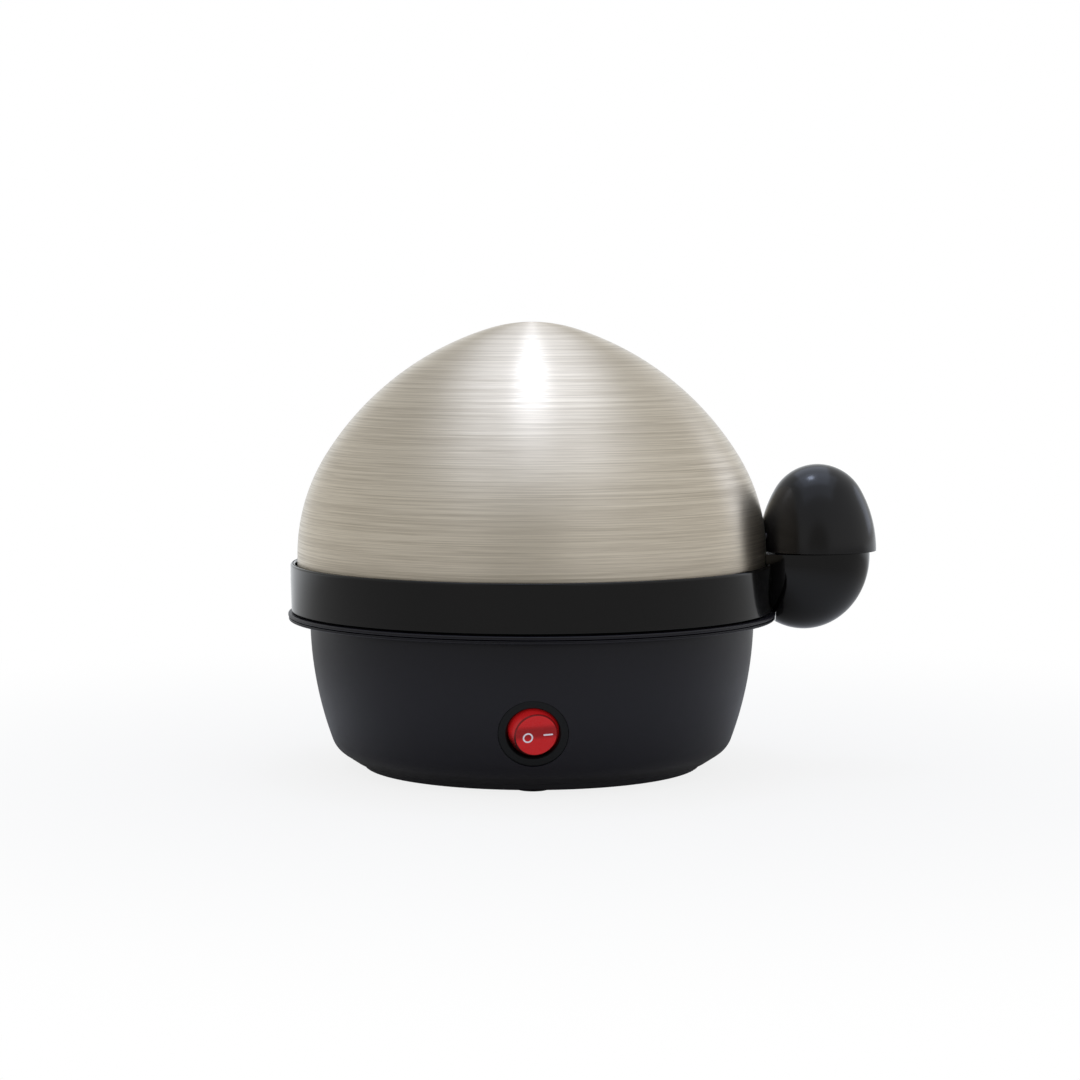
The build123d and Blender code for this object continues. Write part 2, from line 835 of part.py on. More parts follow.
def wire(points):
    """Insulated wire along straight runs joined by arcs as large as the runs allow."""
    corners = [Vector(*point) for point in points]
    radii = []
    for before, here, after in zip(corners, corners[1:], corners[2:]):
        turn = radians((here - before).get_angle(after - here))
        run = min((here - before).length, (after - here).length)
        radii.append(wire_bend_share * run / tan(turn / 2))
    path = FilletPolyline(*corners, radius=radii)
    section = Plane(path @ 0, z_dir=path % 0) * Circle(wire_radius)
    return sweep(section, path)


def switch_point(x, y, z):
    """Point of the switch's own frame in the body's frame."""
    return switch_plane.from_local_coords(Vector(x, y, z))


def switch_tab_end(x):
    """Where a wire meets one of the switch's tabs, and a point further along it."""
    end = -(barrel_depth + switch_tab_reach + wire_end_gap)
    return [switch_point(x, 0, end), switch_point(x, 0, end - switch_tab_reach)]


def block_port_end(way):
    """Where a wire meets the terminal block, and a point in front of it."""
    height = housing_bottom + block_port_height
    return [
        (block_port_x(way), block_front_y - wire_lead_in, height),
        (block_port_x(way), block_front_y - wire_end_gap, height),
    ]


def live_wire():
    """From the terminal block's first way to the switch's middle tab."""
    return wire(switch_tab_end(0) + [live_wire_way] + block_port_end(0))


def switched_wire():
    """From the switch's left tab to the thermostat's front tab."""
    height = thermostat_bottom - tab_thickness / 2
    reach = thermostat_tab_reach + wire_end_gap
    tab = [(0, -reach - switched_wire_lead, height), (0, -reach, height)]
    return wire(switch_tab_end(-switch_tab_place) + tab)


def lamp_wire():
    """From the switch's right tab to the terminal block's third way."""
    return wire(switch_tab_end(switch_tab_place) + [lamp_wire_way] + block_port_end(2))


def neutral_wire():
    """From the element's left tab, over the terminal block and back into its second way."""
    angle = element_end_angles()[1]
    end = element_turn(angle) * Pos(0, 0, tab_top - tab_length - wire_end_gap)
    start = end.position
    port = block_port_end(1)[1]
    over = housing_bottom + block_height + neutral_wire_rise
    return wire(
        [
            start,
            (start.X, start.Y, over),
            (port[0], neutral_wire_drop_y, over),
            (port[0], neutral_wire_drop_y, port[2]),
            port,
        ]
    )


def earth_wire():
    """From the terminal block's last way to the earth tab."""
    top = clamp_top - clamp_sheet - tab_thickness - tab_length - wire_end_gap
    blade = earth_turn() * Pos((tab_thickness - earth_foot) / 2, 0, top)
    end = blade.position
    ahead, port = block_port_end(block_ways - 1)
    return wire([port, ahead, earth_wire_way, (end.X, end.Y, earth_wire_rise_height), end])


def switch_body():
    """Round bezel and barrel that snap into the housing's pocket."""
    bezel = rod(bezel_radius, 0, bezel_thickness)
    bezel = fillet(bezel.edges().group_by(Axis.Z)[-1], edge_round)
    barrel = rod(barrel_radius, -barrel_depth, 0)
    wing_top = -panel_thickness - seat_gap
    wedge = Plane.XZ * Polyline(
        (barrel_radius - wing_root, wing_top),
        (barrel_radius + wing_reach, wing_top),
        (barrel_radius, wing_top - wing_length),
        (barrel_radius - wing_root, wing_top - wing_length),
        close=True,
    )
    wing = extrude(make_face(wedge), wing_width / 2, both=True)
    body = bezel + barrel + wing + Rot(0, 0, 180) * wing
    body -= rod(lens_opening_radius, -barrel_cavity_depth, bezel_thickness)
    hole = Rot(90, 0, 0) * rod(trunnion_radius + trunnion_gap, -trunnion_end(), trunnion_end())
    body -= Pos(0, 0, -rocker_axis_depth) * hole
    for x in (-switch_tab_place, 0, switch_tab_place):
        body -= switch_slot(x, seat_gap)
    return body


def trunnion_end():
    """Depth of the rocker's pivot holes, which stay inside the barrel."""
    return trunnion_reach + seat_gap


def switch_slot(x, gap):
    """Flat bar through the barrel's bottom for one tab, with a gap all round."""
    return block(
        (x - tab_thickness / 2 - gap, -switch_tab_width / 2 - gap, -barrel_depth - gap),
        (x + tab_thickness / 2 + gap, switch_tab_width / 2 + gap, -barrel_cavity_depth + gap),
    )


def lever_axis_depth():
    """Depth of the axis that the lever tips about, just under the plunger's tip."""
    return rocker_axis_depth + plunger_tip_reach + lever_tip_gap + lever_sheet


def switch_terminals():
    """Tabs of the switch: the lever's perch, the fixed contact and the lamp's tab."""
    half = tab_thickness / 2
    side = switch_tab_width / 2
    low = -barrel_depth - switch_tab_reach
    perch_top = -lever_axis_depth() - lever_bead_radius - contact_gap
    perch = block((-half, -side, low), (half, side, perch_top))
    blade = block((-half, -side, low), (half, side, -barrel_cavity_depth))
    left = Pos(-switch_tab_place, 0, 0) * blade
    right = Pos(switch_tab_place, 0, 0) * blade
    drop = (lever_length / 2) * sin(radians(lever_tilt)) + contact_height
    top = -lever_axis_depth() - drop - contact_gap
    pad = Pos(-lever_contact_place(), 0, 0) * rod(contact_radius, -barrel_cavity_depth, top)
    return [perch, left + pad, right]


def lever_contact_place():
    """Distance of the lever's contact from the axis it tips about."""
    return lever_length / 2 - contact_radius


def contact_lever():
    """See-saw strip that rocks on a round bead, with a contact under its left arm."""
    half_length = lever_length / 2
    half_width = lever_width / 2
    strip = block((-half_length, -half_width, 0), (half_length, half_width, lever_sheet))
    strip += Rot(90, 0, 0) * rod(lever_bead_radius, -half_width, half_width)
    strip += Pos(-lever_contact_place(), 0, 0) * rod(contact_radius, -contact_height, 0)
    return Pos(0, 0, -lever_axis_depth()) * Rot(0, -lever_tilt, 0) * strip


def neon_lamp():
    """Small glow lamp lying on the floor of the barrel, beside the lever."""
    bulb = Rot(0, 90, 0) * rod(lamp_radius, -lamp_length / 2, lamp_length / 2)
    return Pos(0, lamp_place, -barrel_cavity_depth + lamp_radius + seat_gap) * bulb


def in_rocker(piece):
    """A piece drawn about the rocker's pivot, tipped to ON and set in the switch."""
    return Pos(0, 0, -rocker_axis_depth) * Rot(0, rocker_tilt, 0) * piece


def rocker_ball_radius():
    """Radius of the rocker's round side, which clears the bezel at every angle."""
    return lens_opening_radius - rocker_gap


def rocker_face_height():
    """Height of the rocker's face above its pivot."""
    return sqrt(rocker_ball_radius() ** 2 - rocker_face_radius**2)


def rocker():
    """Ball-sided cap with two trunnions and a tube for the plunger."""
    ball_radius = rocker_ball_radius()
    face = rocker_face_height()
    ball = Sphere(ball_radius) & rod(ball_radius, -rocker_skirt, face)
    ball = fillet(ball.edges().group_by(Axis.Z)[-1], edge_round)
    inside = Sphere(ball_radius - rocker_wall) & rod(ball_radius, -ball_radius, face - rocker_wall)
    cap = ball - inside
    cap += rod(plunger_tube_radius, -plunger_tube_length, face - rocker_wall)
    cap -= rod(plunger_radius + plunger_gap, -plunger_tube_length, spring_top())
    for side in (-1, 1):
        pin_start = side * (ball_radius - rocker_wall)
        pin_end = side * trunnion_reach
        pin = rod(trunnion_radius, min(pin_start, pin_end), max(pin_start, pin_end))
        cap += Rot(90, 0, 0) * pin
    return cap


def spring_top():
    """Top of the plunger's bore, above the rocker's pivot."""
    return rocker_face_height() - rocker_wall - plunger_gap


def plunger():
    """Brass pin with a round tip, which slides along the lever."""
    tip_centre = -plunger_tip_reach + plunger_radius
    pin = rod(plunger_radius, tip_centre, tip_centre + plunger_length - plunger_radius)
    return pin + Pos(0, 0, tip_centre) * Sphere(plunger_radius)


def plunger_spring():
    """Space of the compression spring above the plunger, as a plain sleeve."""
    low = -plunger_tip_reach + plunger_length
    return tube(plunger_radius, plunger_radius - spring_wire, low, spring_top())


def rocker_marks():
    """White ring and bar printed on the rocker's face."""
    face = rocker_face_height()
    top = face + mark_thickness
    ring = tube(ring_mark_radius, ring_mark_radius - mark_line, face, top)
    bar = block((-bar_mark_length / 2, -mark_line / 2, face), (bar_mark_length / 2, mark_line / 2, top))
    return [Pos(-ring_mark_place, -ring_mark_drop, 0) * ring, Pos(bar_mark_place, 0, 0) * bar]


def cord_gland():
    """Moulded bush in the back wall, with a bore for the cord."""
    flange = rod(gland_flange_radius, 0, gland_flange_thickness)
    flange = fillet(flange.edges().group_by(Axis.Z)[-1], edge_round)
    nose_end = gland_flange_thickness + gland_nose_length
    nose = Pos(0, 0, gland_flange_thickness + gland_nose_length / 2) * Cone(
        gland_nose_radius, gland_tip_radius, gland_nose_length
    )
    neck = rod(gland_neck_radius, -panel_thickness - gland_tail, 0)
    snap_height = gland_tail / 2
    snap = Pos(0, 0, -panel_thickness - seat_gap - snap_height / 2) * Cone(
        gland_neck_radius, gland_snap_radius, snap_height
    )
    bush = flange + nose + neck + snap
    return bush - rod(gland_bore_radius, -panel_thickness - gland_tail, nose_end)


def collar_outer_radius(height):
    """Outer radius of the collar: upright at the top, then drawn in towards its foot."""
    kink = collar_top_height - collar_upright_band
    foot = deck_height + collar_relief
    if height >= kink:
        return collar_top_radius
    return collar_foot_radius + (collar_top_radius - collar_foot_radius) * (height - foot) / (kink - foot)


def steam_collar():
    """Upright ring with a ledge for the lid and a floor ring that sits on the deck."""
    kink = collar_top_height - collar_upright_band
    foot = deck_height + collar_relief
    ledge_edge = collar_inner_top_radius - ledge_width
    lip_round = collar_wall * lip_round_share
    ring = turned(
        [
            (collar_bore_radius, deck_height),
            (collar_relief_radius, deck_height),
            (collar_relief_radius, foot),
            (collar_foot_radius, foot),
            (collar_top_radius, kink),
            (collar_top_radius, collar_top_height),
            (collar_inner_top_radius, collar_top_height),
            (collar_inner_top_radius, ledge_height),
            (ledge_edge, ledge_height),
            (ledge_edge, ledge_bottom),
            (collar_inner_foot_radius, ledge_bottom - ledge_root),
            (collar_inner_foot_radius, collar_floor_top),
            (collar_bore_radius, collar_floor_top),
        ],
        [
            edge_round,
            0,
            0,
            edge_round,
            0,
            lip_round,
            lip_round,
            0,
            edge_round,
            0,
            0,
            floor_corner_round,
            edge_round,
        ],
    )
    hole = rod(screw_radius + screw_gap, collar_bore_radius, flange_radius)
    for side in (-1, 1):
        ring -= lower_screw_turn(side) * hole
    return ring


def lower_screw_turn(side):
    """Frame of one screw of the lower handle: z points outwards from the body's axis."""
    return Rot(0, 0, side * lower_screw_spread) * Pos(0, 0, lower_screw_height) * Rot(0, 90, 0)


def egg_rack():
    """Perforated tray with lipped egg seats, a rim to stand on and two grips."""
    bottom = rack_floor_height - rack_sheet
    rack = turned(
        [
            (0, bottom),
            (rack_radius - rack_rim_wall, bottom),
            (rack_radius - rack_rim_wall, collar_floor_top),
            (rack_radius, collar_floor_top),
            (rack_radius, rack_floor_height),
            (0, rack_floor_height),
        ],
        [0, edge_round, 0, edge_round, rack_sheet / 2, 0],
    )
    seat = rod(egg_hole_radius + egg_lip_wall, bottom - egg_lip_depth, bottom)
    seats = [seat] + around(egg_ring_count, egg_circle, seat)
    holes = [rod(egg_hole_radius, collar_floor_top, rack_floor_height)]
    holes += around(egg_ring_count, egg_circle, holes[0])
    for piece in seats:
        rack += piece
    for piece in holes:
        rack -= piece
    between = 180 / egg_ring_count
    inner_circle = egg_circle / 2 / cos(radians(between))
    inner = rod(steam_hole_radius, bottom, rack_floor_height)
    for piece in around(egg_ring_count, inner_circle, inner, between):
        rack -= piece
    outer = rod(outer_steam_hole_radius, bottom, rack_floor_height)
    for angle in outer_steam_angles:
        rack -= Rot(0, 0, angle) * Pos(outer_steam_circle, 0, 0) * outer
    for side in (-1, 1):
        rack += grip(side)
    return rack


def grip(side):
    """Upright finger tab with a hole, at the front or the back of the rack."""
    sheet = RectangleRounded(grip_width, 2 * grip_height, grip_round)
    sheet -= Pos(0, grip_height / 2) * Circle(grip_hole_radius)
    tab = Pos(0, 0, rack_floor_height) * extrude(Plane.XZ * sheet, grip_thickness / 2, both=True)
    tab &= block(
        (-grip_width, -grip_thickness, rack_floor_height),
        (grip_width, grip_thickness, rack_floor_height + grip_height),
    )
    return Pos(0, side * grip_place, 0) * tab


def lid_arcs(inset):
    """Centres, radii and turning angles of the lid's three arcs, moved in by inset."""
    side_centre = (lid_radius - lid_side_curve, lid_spring_height)
    join = on_arc(side_centre, lid_side_curve, lid_side_turn)
    shoulder_centre = on_arc(join, -lid_shoulder_curve, lid_side_turn)
    nose_start = lid_side_turn + lid_shoulder_turn
    shoulder_end = on_arc(shoulder_centre, lid_shoulder_curve, nose_start)
    nose_curve = shoulder_end[0] / cos(radians(nose_start))
    nose_centre = (0, shoulder_end[1] - nose_curve * sin(radians(nose_start)))
    return [
        (side_centre, lid_side_curve - inset, 0, lid_side_turn),
        (shoulder_centre, lid_shoulder_curve - inset, lid_side_turn, nose_start),
        (nose_centre, nose_curve - inset, nose_start, 90),
    ]


def lid_solid(inset, bottom):
    """Solid inside the lid's outer face, moved in by inset."""
    edges = []
    for centre, radius, start, end in lid_arcs(inset):
        points = [on_arc(centre, radius, angle) for angle in (start, (start + end) / 2, end)]
        edges.append(ThreePointArc(*points))
    apex = edges[-1] @ 1
    edges.append(Line((0, apex.Y), (0, bottom)))
    edges.append(Line((0, bottom), (lid_radius - inset, bottom)))
    edges.append(Line((lid_radius - inset, bottom), (lid_radius - inset, lid_spring_height)))
    return revolve(make_face([Plane.XZ * edge for edge in edges]), Axis.Z)


def lid_normal(height):
    """Radius of the lid's outer face at a height on its side arc, and its slope there."""
    slope = degrees(asin((height - lid_spring_height) / lid_side_curve))
    return lid_radius - lid_side_curve * (1 - cos(radians(slope))), slope


def lid_screw_turn(side):
    """Frame of one screw of the lid's handle: z points out of the lid, square to its face."""
    radius, slope = lid_normal(lid_screw_height)
    return Rot(0, 0, side * lid_screw_spread) * Pos(radius, 0, lid_screw_height) * Rot(0, 90 - slope, 0)


def lid_dome():
    """Spun steel dome with a folded hem."""
    dome = lid_solid(0, ledge_height) - lid_solid(lid_sheet, ledge_height)
    hem_inner = lid_radius - hem_thickness
    dome += tube(lid_radius - lid_sheet / 2, hem_inner, ledge_height, ledge_height + hem_height)
    hole = rod(screw_radius + screw_gap, -lid_sheet * 2, lid_sheet)
    for side in (-1, 1):
        dome -= lid_screw_turn(side) * hole
    return dome


def half_egg(inset):
    """Solid of the upper half egg about its own axis, moved in by inset."""
    side_centre = (handle_radius - handle_side_curve, handle_bottom_height)
    side_radius = handle_side_curve - inset
    joint = on_arc(side_centre, handle_side_curve, handle_side_turn)
    nose_curve = joint[0] / cos(radians(handle_side_turn))
    nose_centre = (0, joint[1] - nose_curve * sin(radians(handle_side_turn)))
    nose_radius = nose_curve - inset
    side_angles = (0, handle_side_turn / 2, handle_side_turn)
    side = [on_arc(side_centre, side_radius, angle) for angle in side_angles]
    nose_mid = (handle_side_turn + 90) / 2
    nose = [on_arc(nose_centre, nose_radius, angle) for angle in (handle_side_turn, nose_mid, 90)]
    edges = [
        Line((0, handle_bottom_height), side[0]),
        ThreePointArc(*side),
        ThreePointArc(*nose),
        Line(nose[2], (0, handle_bottom_height)),
    ]
    return Pos(handle_axis, 0, 0) * revolve(make_face([Plane.XZ * edge for edge in edges]), Axis.Z)


def lid_handle():
    """Hollow upper half egg with a saddle that follows the lid, open below."""
    outside = half_egg(0) - lid_solid(-slip_gap, ledge_height)
    hollow = half_egg(handle_wall) - lid_solid(-slip_gap - handle_saddle_wall, ledge_height)
    shell = outside - hollow
    boss = rod(screw_radius + screw_gap + boss_wall, slip_gap, handle_saddle_wall + handle_boss_length)
    hole = rod(screw_radius + screw_gap, 0, lid_screw_length)
    for side in (-1, 1):
        shell += (lid_screw_turn(side) * boss) & outside
    for side in (-1, 1):
        shell -= lid_screw_turn(side) * hole
    return shell


def lid_washer_seat():
    """Height of the flat washer's face in the screw's frame, clear of the lid's hollow curve."""
    return -lid_sheet - seat_gap - washer_radius**2 / (2 * lid_side_curve)


def lid_handle_washers():
    """Washers between the screws' heads and the inside of the lid."""
    seat = lid_washer_seat()
    ring = tube(washer_radius, screw_radius + screw_gap, seat - washer_thickness, seat)
    return [lid_screw_turn(side) * ring for side in (-1, 1)]


def lid_handle_screws():
    """Screws from inside the lid into the upper half egg."""
    seat = lid_washer_seat() - washer_thickness
    return [lid_screw_turn(side) * Pos(0, 0, seat) * screw(lid_screw_length) for side in (-1, 1)]


def lower_egg(inset):
    """Whole egg that the lower half is cut from, moved in by inset."""
    radii = (lower_egg_radius_x - inset, lower_egg_radius_y - inset, lower_egg_radius_z - inset)
    return Pos(lower_egg_axis, 0, lower_egg_centre_height) * scale(Sphere(1), by=radii)


def lower_saddle(gap):
    """Space of the round body that the lower half egg keeps a gap from."""
    reach = handle_axis + handle_radius
    body = rod(collar_top_radius + gap, 0, reach)
    return body + rod(flange_radius + gap, 0, deck_height + gap)


def collar_handle():
    """Hollow lower half egg with a saddle against the collar and a step for its cap."""
    top = handle_bottom_height - handle_parting
    slab = block((0, -flange_radius, 0), (flange_radius * 2, flange_radius, top))
    outside = (lower_egg(0) & slab) - lower_saddle(slip_gap)
    hollow = (lower_egg(handle_wall) & slab) - lower_saddle(slip_gap + handle_saddle_wall)
    shell = outside - hollow
    boss_start = collar_top_radius + slip_gap
    boss_end = boss_start + handle_saddle_wall + handle_boss_length
    boss = rod(screw_radius + screw_gap + boss_wall, boss_start, boss_end)
    hole = rod(screw_radius + screw_gap, collar_top_radius, boss_start + lower_screw_length)
    for side in (-1, 1):
        shell += (lower_screw_turn(side) * boss) & outside
    for side in (-1, 1):
        shell -= lower_screw_turn(side) * hole
    return shell - lower_cap_space(0)


def lower_cap_space(gap):
    """Flat space for the cap in the top of the lower half egg."""
    top = handle_bottom_height - handle_parting
    step = handle_wall - lower_cap_step + gap
    outline = Ellipse(lower_egg_radius_x - step, lower_egg_radius_y - step)
    plate = extrude(Pos(lower_egg_axis, 0, top - lower_cap_thickness) * outline, lower_cap_thickness)
    return plate - lower_saddle(slip_gap + handle_saddle_wall - lower_cap_step + gap)


def collar_handle_cap():
    """Flat cap that closes the lower half egg."""
    return lower_cap_space(seat_gap)


def collar_handle_screws():
    """Screws from inside the collar into the lower half egg."""
    seat = sqrt(collar_inner_foot_radius**2 - screw_head_radius**2) - seat_gap
    return [lower_screw_turn(side) * Pos(0, 0, seat) * screw(lower_screw_length) for side in (-1, 1)]


def in_switch(piece):
    """A piece, or a list of pieces, of the switch's frame set in the wall."""
    if isinstance(piece, list):
        return [switch_plane * one for one in piece]
    return switch_plane * piece


def in_rocker_and_switch(piece):
    """A piece, or a list of pieces, of the rocker's frame set in the wall."""
    if isinstance(piece, list):
        return in_switch([in_rocker(one) for one in piece])
    return in_switch(in_rocker(piece))


nodes = {
    "base_housing": base_housing(),
    "base_deck": base_deck(),
    "bottom_cover": bottom_cover(),
    "rubber_feet": rubber_feet(),
    "cover_screws": cover_screws(),
    "heating_plate": heating_plate(),
    "plate_gasket": plate_gasket(),
    "plate_studs": plate_studs(),
    "clamp_ring": clamp_ring(),
    "clamp_nuts": clamp_nuts(),
    "heat_spreader": heat_spreader(),
    "heating_element": heating_element(),
    "element_insulators": element_insulators(),
    "element_terminals": element_terminals(),
    "thermostat": thermostat(),
    "thermostat_bracket": thermostat_bracket(),
    "thermostat_screws": thermostat_screws(),
    "thermal_fuse": thermal_fuse(),
    "earth_tab": earth_tab(),
    "earth_rivet": earth_rivet(),
    "terminal_block": terminal_block(),
    "terminal_screws": terminal_screws(),
    "block_screw": block_screw(),
    "live_wire": live_wire(),
    "switched_wire": switched_wire(),
    "lamp_wire": lamp_wire(),
    "neutral_wire": neutral_wire(),
    "earth_wire": earth_wire(),
    "cord_gland": gland_plane * cord_gland(),
    "switch_body": in_switch(switch_body()),
    "switch_terminals": in_switch(switch_terminals()),
    "neon_lamp": in_switch(neon_lamp()),
    "contact_lever": in_switch(contact_lever()),
    "rocker": in_rocker_and_switch(rocker()),
    "rocker_marks": in_rocker_and_switch(rocker_marks()),
    "plunger": in_rocker_and_switch(plunger()),
    "plunger_spring": in_rocker_and_switch(plunger_spring()),
    "steam_collar": steam_collar(),
    "collar_handle": collar_handle(),
    "collar_handle_cap": collar_handle_cap(),
    "collar_handle_screws": collar_handle_screws(),
    "egg_rack": egg_rack(),
    "lid_dome": lid_dome(),
    "lid_handle": lid_handle(),
    "lid_handle_screws": lid_handle_screws(),
    "lid_handle_washers": lid_handle_washers(),
}

os.makedirs("parts", exist_ok=True)
for name, shape in nodes.items():
    solids = shape if isinstance(shape, list) else [shape]
    placed = [Pos(body_axis_x, 0, 0) * solid for solid in solids]
    export_step(Compound(children=placed) if len(placed) > 1 else placed[0], f"parts/{name}.step")
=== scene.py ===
import bpy
import bmesh
import json
from math import asin, atan2, cos, degrees, pi, radians, sin, sqrt, tan
from mathutils import Matrix, Vector

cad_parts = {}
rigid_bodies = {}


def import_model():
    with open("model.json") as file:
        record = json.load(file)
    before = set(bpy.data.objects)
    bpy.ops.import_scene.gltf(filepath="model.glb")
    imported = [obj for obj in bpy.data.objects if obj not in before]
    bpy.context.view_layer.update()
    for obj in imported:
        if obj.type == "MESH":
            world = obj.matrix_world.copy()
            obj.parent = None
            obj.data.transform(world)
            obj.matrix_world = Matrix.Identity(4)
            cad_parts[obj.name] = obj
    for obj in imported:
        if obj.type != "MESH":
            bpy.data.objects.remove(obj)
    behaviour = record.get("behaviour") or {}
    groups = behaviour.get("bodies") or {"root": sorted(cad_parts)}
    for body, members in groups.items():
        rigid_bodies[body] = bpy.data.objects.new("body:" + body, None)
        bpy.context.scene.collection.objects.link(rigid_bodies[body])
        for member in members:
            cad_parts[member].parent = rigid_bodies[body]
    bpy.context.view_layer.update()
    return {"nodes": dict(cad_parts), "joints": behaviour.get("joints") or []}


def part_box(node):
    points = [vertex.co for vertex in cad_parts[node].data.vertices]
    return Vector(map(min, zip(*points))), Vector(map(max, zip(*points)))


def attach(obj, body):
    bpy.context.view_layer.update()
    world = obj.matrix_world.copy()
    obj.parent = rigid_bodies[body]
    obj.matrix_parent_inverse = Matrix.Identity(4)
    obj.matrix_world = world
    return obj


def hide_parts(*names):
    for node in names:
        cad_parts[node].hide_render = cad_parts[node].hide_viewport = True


# An electric egg cooker on a pale table: a satin black base with a red rocker switch, a polished
# black steam collar, a brushed steel dome, and half-egg handles. Sizes are in millimetres unless
# they say otherwise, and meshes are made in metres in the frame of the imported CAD.

for leftover in list(bpy.data.objects):
    bpy.data.objects.remove(leftover)
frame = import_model()
node = frame["nodes"]

# ---- Base housing
# The bowl is one satin black moulding with a rim round its mouth. Its wall leans in towards the
# table, and the switch sits in a round pocket at the front, the cord's bush in another at the
# back.
mm = 0.001
lid_low, lid_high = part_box("lid_dome")
axis_x = (lid_low.x + lid_high.x) / 2 / mm

flange_radius = 85.0
deck_height = 55.0
deck_rim = 1.2
rim_groove = 0.25
housing_rim = 1.0
rim_setback = 0.2
rim_root = 0.3
under_rim_round = 0.25
over_rim_round = 0.3
housing_top_radius = 77.4
side_curve = 125.0
side_turn = 20.0
corner_curve = 9.3
corner_turn = 36.7
housing_wall = 2.4
housing_bottom = 3.4
access_radius = 47.0
small_round = 0.4
sharp_edge = 32.0
body_steps = 224


def on_arc(centre, radius, angle):
    """Point of a circle at an angle in degrees, in a piece's half section."""
    return (centre[0] + radius * cos(radians(angle)), centre[1] + radius * sin(radians(angle)))


def arc(centre, radius, start, end, count):
    """Outline points along an arc."""
    return [on_arc(centre, radius, start + (end - start) * i / count) for i in range(count + 1)]


def rounded(corners, steps=6, beside=0.25):
    """Outline from corners (radius, height, round). A round becomes an arc, with a point a little
    way beside each of its ends, so that the flats next to it stay flat in the light."""
    outline = []
    for i, (x, y, size) in enumerate(corners):
        if not size:
            outline.append((x, y))
            continue
        here = Vector((x, y))
        back = Vector(corners[i - 1][:2]) - here
        on = Vector(corners[(i + 1) % len(corners)][:2]) - here
        half = back.angle(on) / 2
        reach = size / tan(half)
        centre = here + (back.normalized() + on.normalized()).normalized() * (size / sin(half))
        start = here + back.normalized() * reach
        end = here + on.normalized() * reach
        spoke = start - centre
        sweep = spoke.angle_signed(end - centre)
        if back.length > reach + beside:
            outline.append(tuple(start + back.normalized() * beside))
        for k in range(steps + 1):
            outline.append(tuple(centre + Matrix.Rotation(-sweep * k / steps, 2) @ spoke))
        if on.length > reach + beside:
            outline.append(tuple(end + on.normalized() * beside))
    return outline


def smooth(mesh):
    """Shades a mesh smooth, except along its sharp edges."""
    mesh.shade_smooth()
    mesh.set_sharp_from_angle(angle=radians(sharp_edge))


def piece(name, vertices, faces, material):
    """New object from points in metres, with doubled points joined and its faces turned out."""
    same_spot = 1e-7
    mesh = bpy.data.meshes.new(name)
    mesh.from_pydata(vertices, [], faces)
    work = bmesh.new()
    work.from_mesh(mesh)
    bmesh.ops.remove_doubles(work, verts=work.verts, dist=same_spot)
    bmesh.ops.recalc_face_normals(work, faces=work.faces)
    work.to_mesh(mesh)
    work.free()
    smooth(mesh)
    thing = bpy.data.objects.new(name, mesh)
    bpy.context.scene.collection.objects.link(thing)
    if material:
        mesh.materials.append(material)
    return thing


body_place = Matrix.Translation((axis_x * mm, 0, 0))


def turned(name, outline, material=None, place=body_place, steps=body_steps):
    """A closed outline of (radius, height) points turned about the upright line of a place."""
    on_axis = 1e-6
    vertices = []
    for i in range(steps):
        around = 2 * pi * i / steps
        for radius, height in outline:
            spot = Vector((radius * cos(around), radius * sin(around), height)) * mm
            vertices.append(place @ spot)
    count = len(outline)
    faces = []
    for i in range(steps):
        after = (i + 1) % steps
        for k in range(count):
            on = (k + 1) % count
            if outline[k][0] < on_axis and outline[on][0] < on_axis:
                continue
            faces.append((i * count + k, after * count + k, after * count + on, i * count + on))
    return piece(name, vertices, faces, material)


def cut(body, *tools):
    """Takes the tools' solids out of a body's mesh, and removes the tools."""
    for tool in tools:
        knife = body.modifiers.new("cut", "BOOLEAN")
        knife.operation = "DIFFERENCE"
        knife.solver = "EXACT"
        knife.object = tool
    seen = body.evaluated_get(bpy.context.evaluated_depsgraph_get())
    result = bpy.data.meshes.new_from_object(seen)
    body.modifiers.clear()
    body.data = result
    smooth(result)
    for tool in tools:
        bpy.data.objects.remove(tool)
    return body


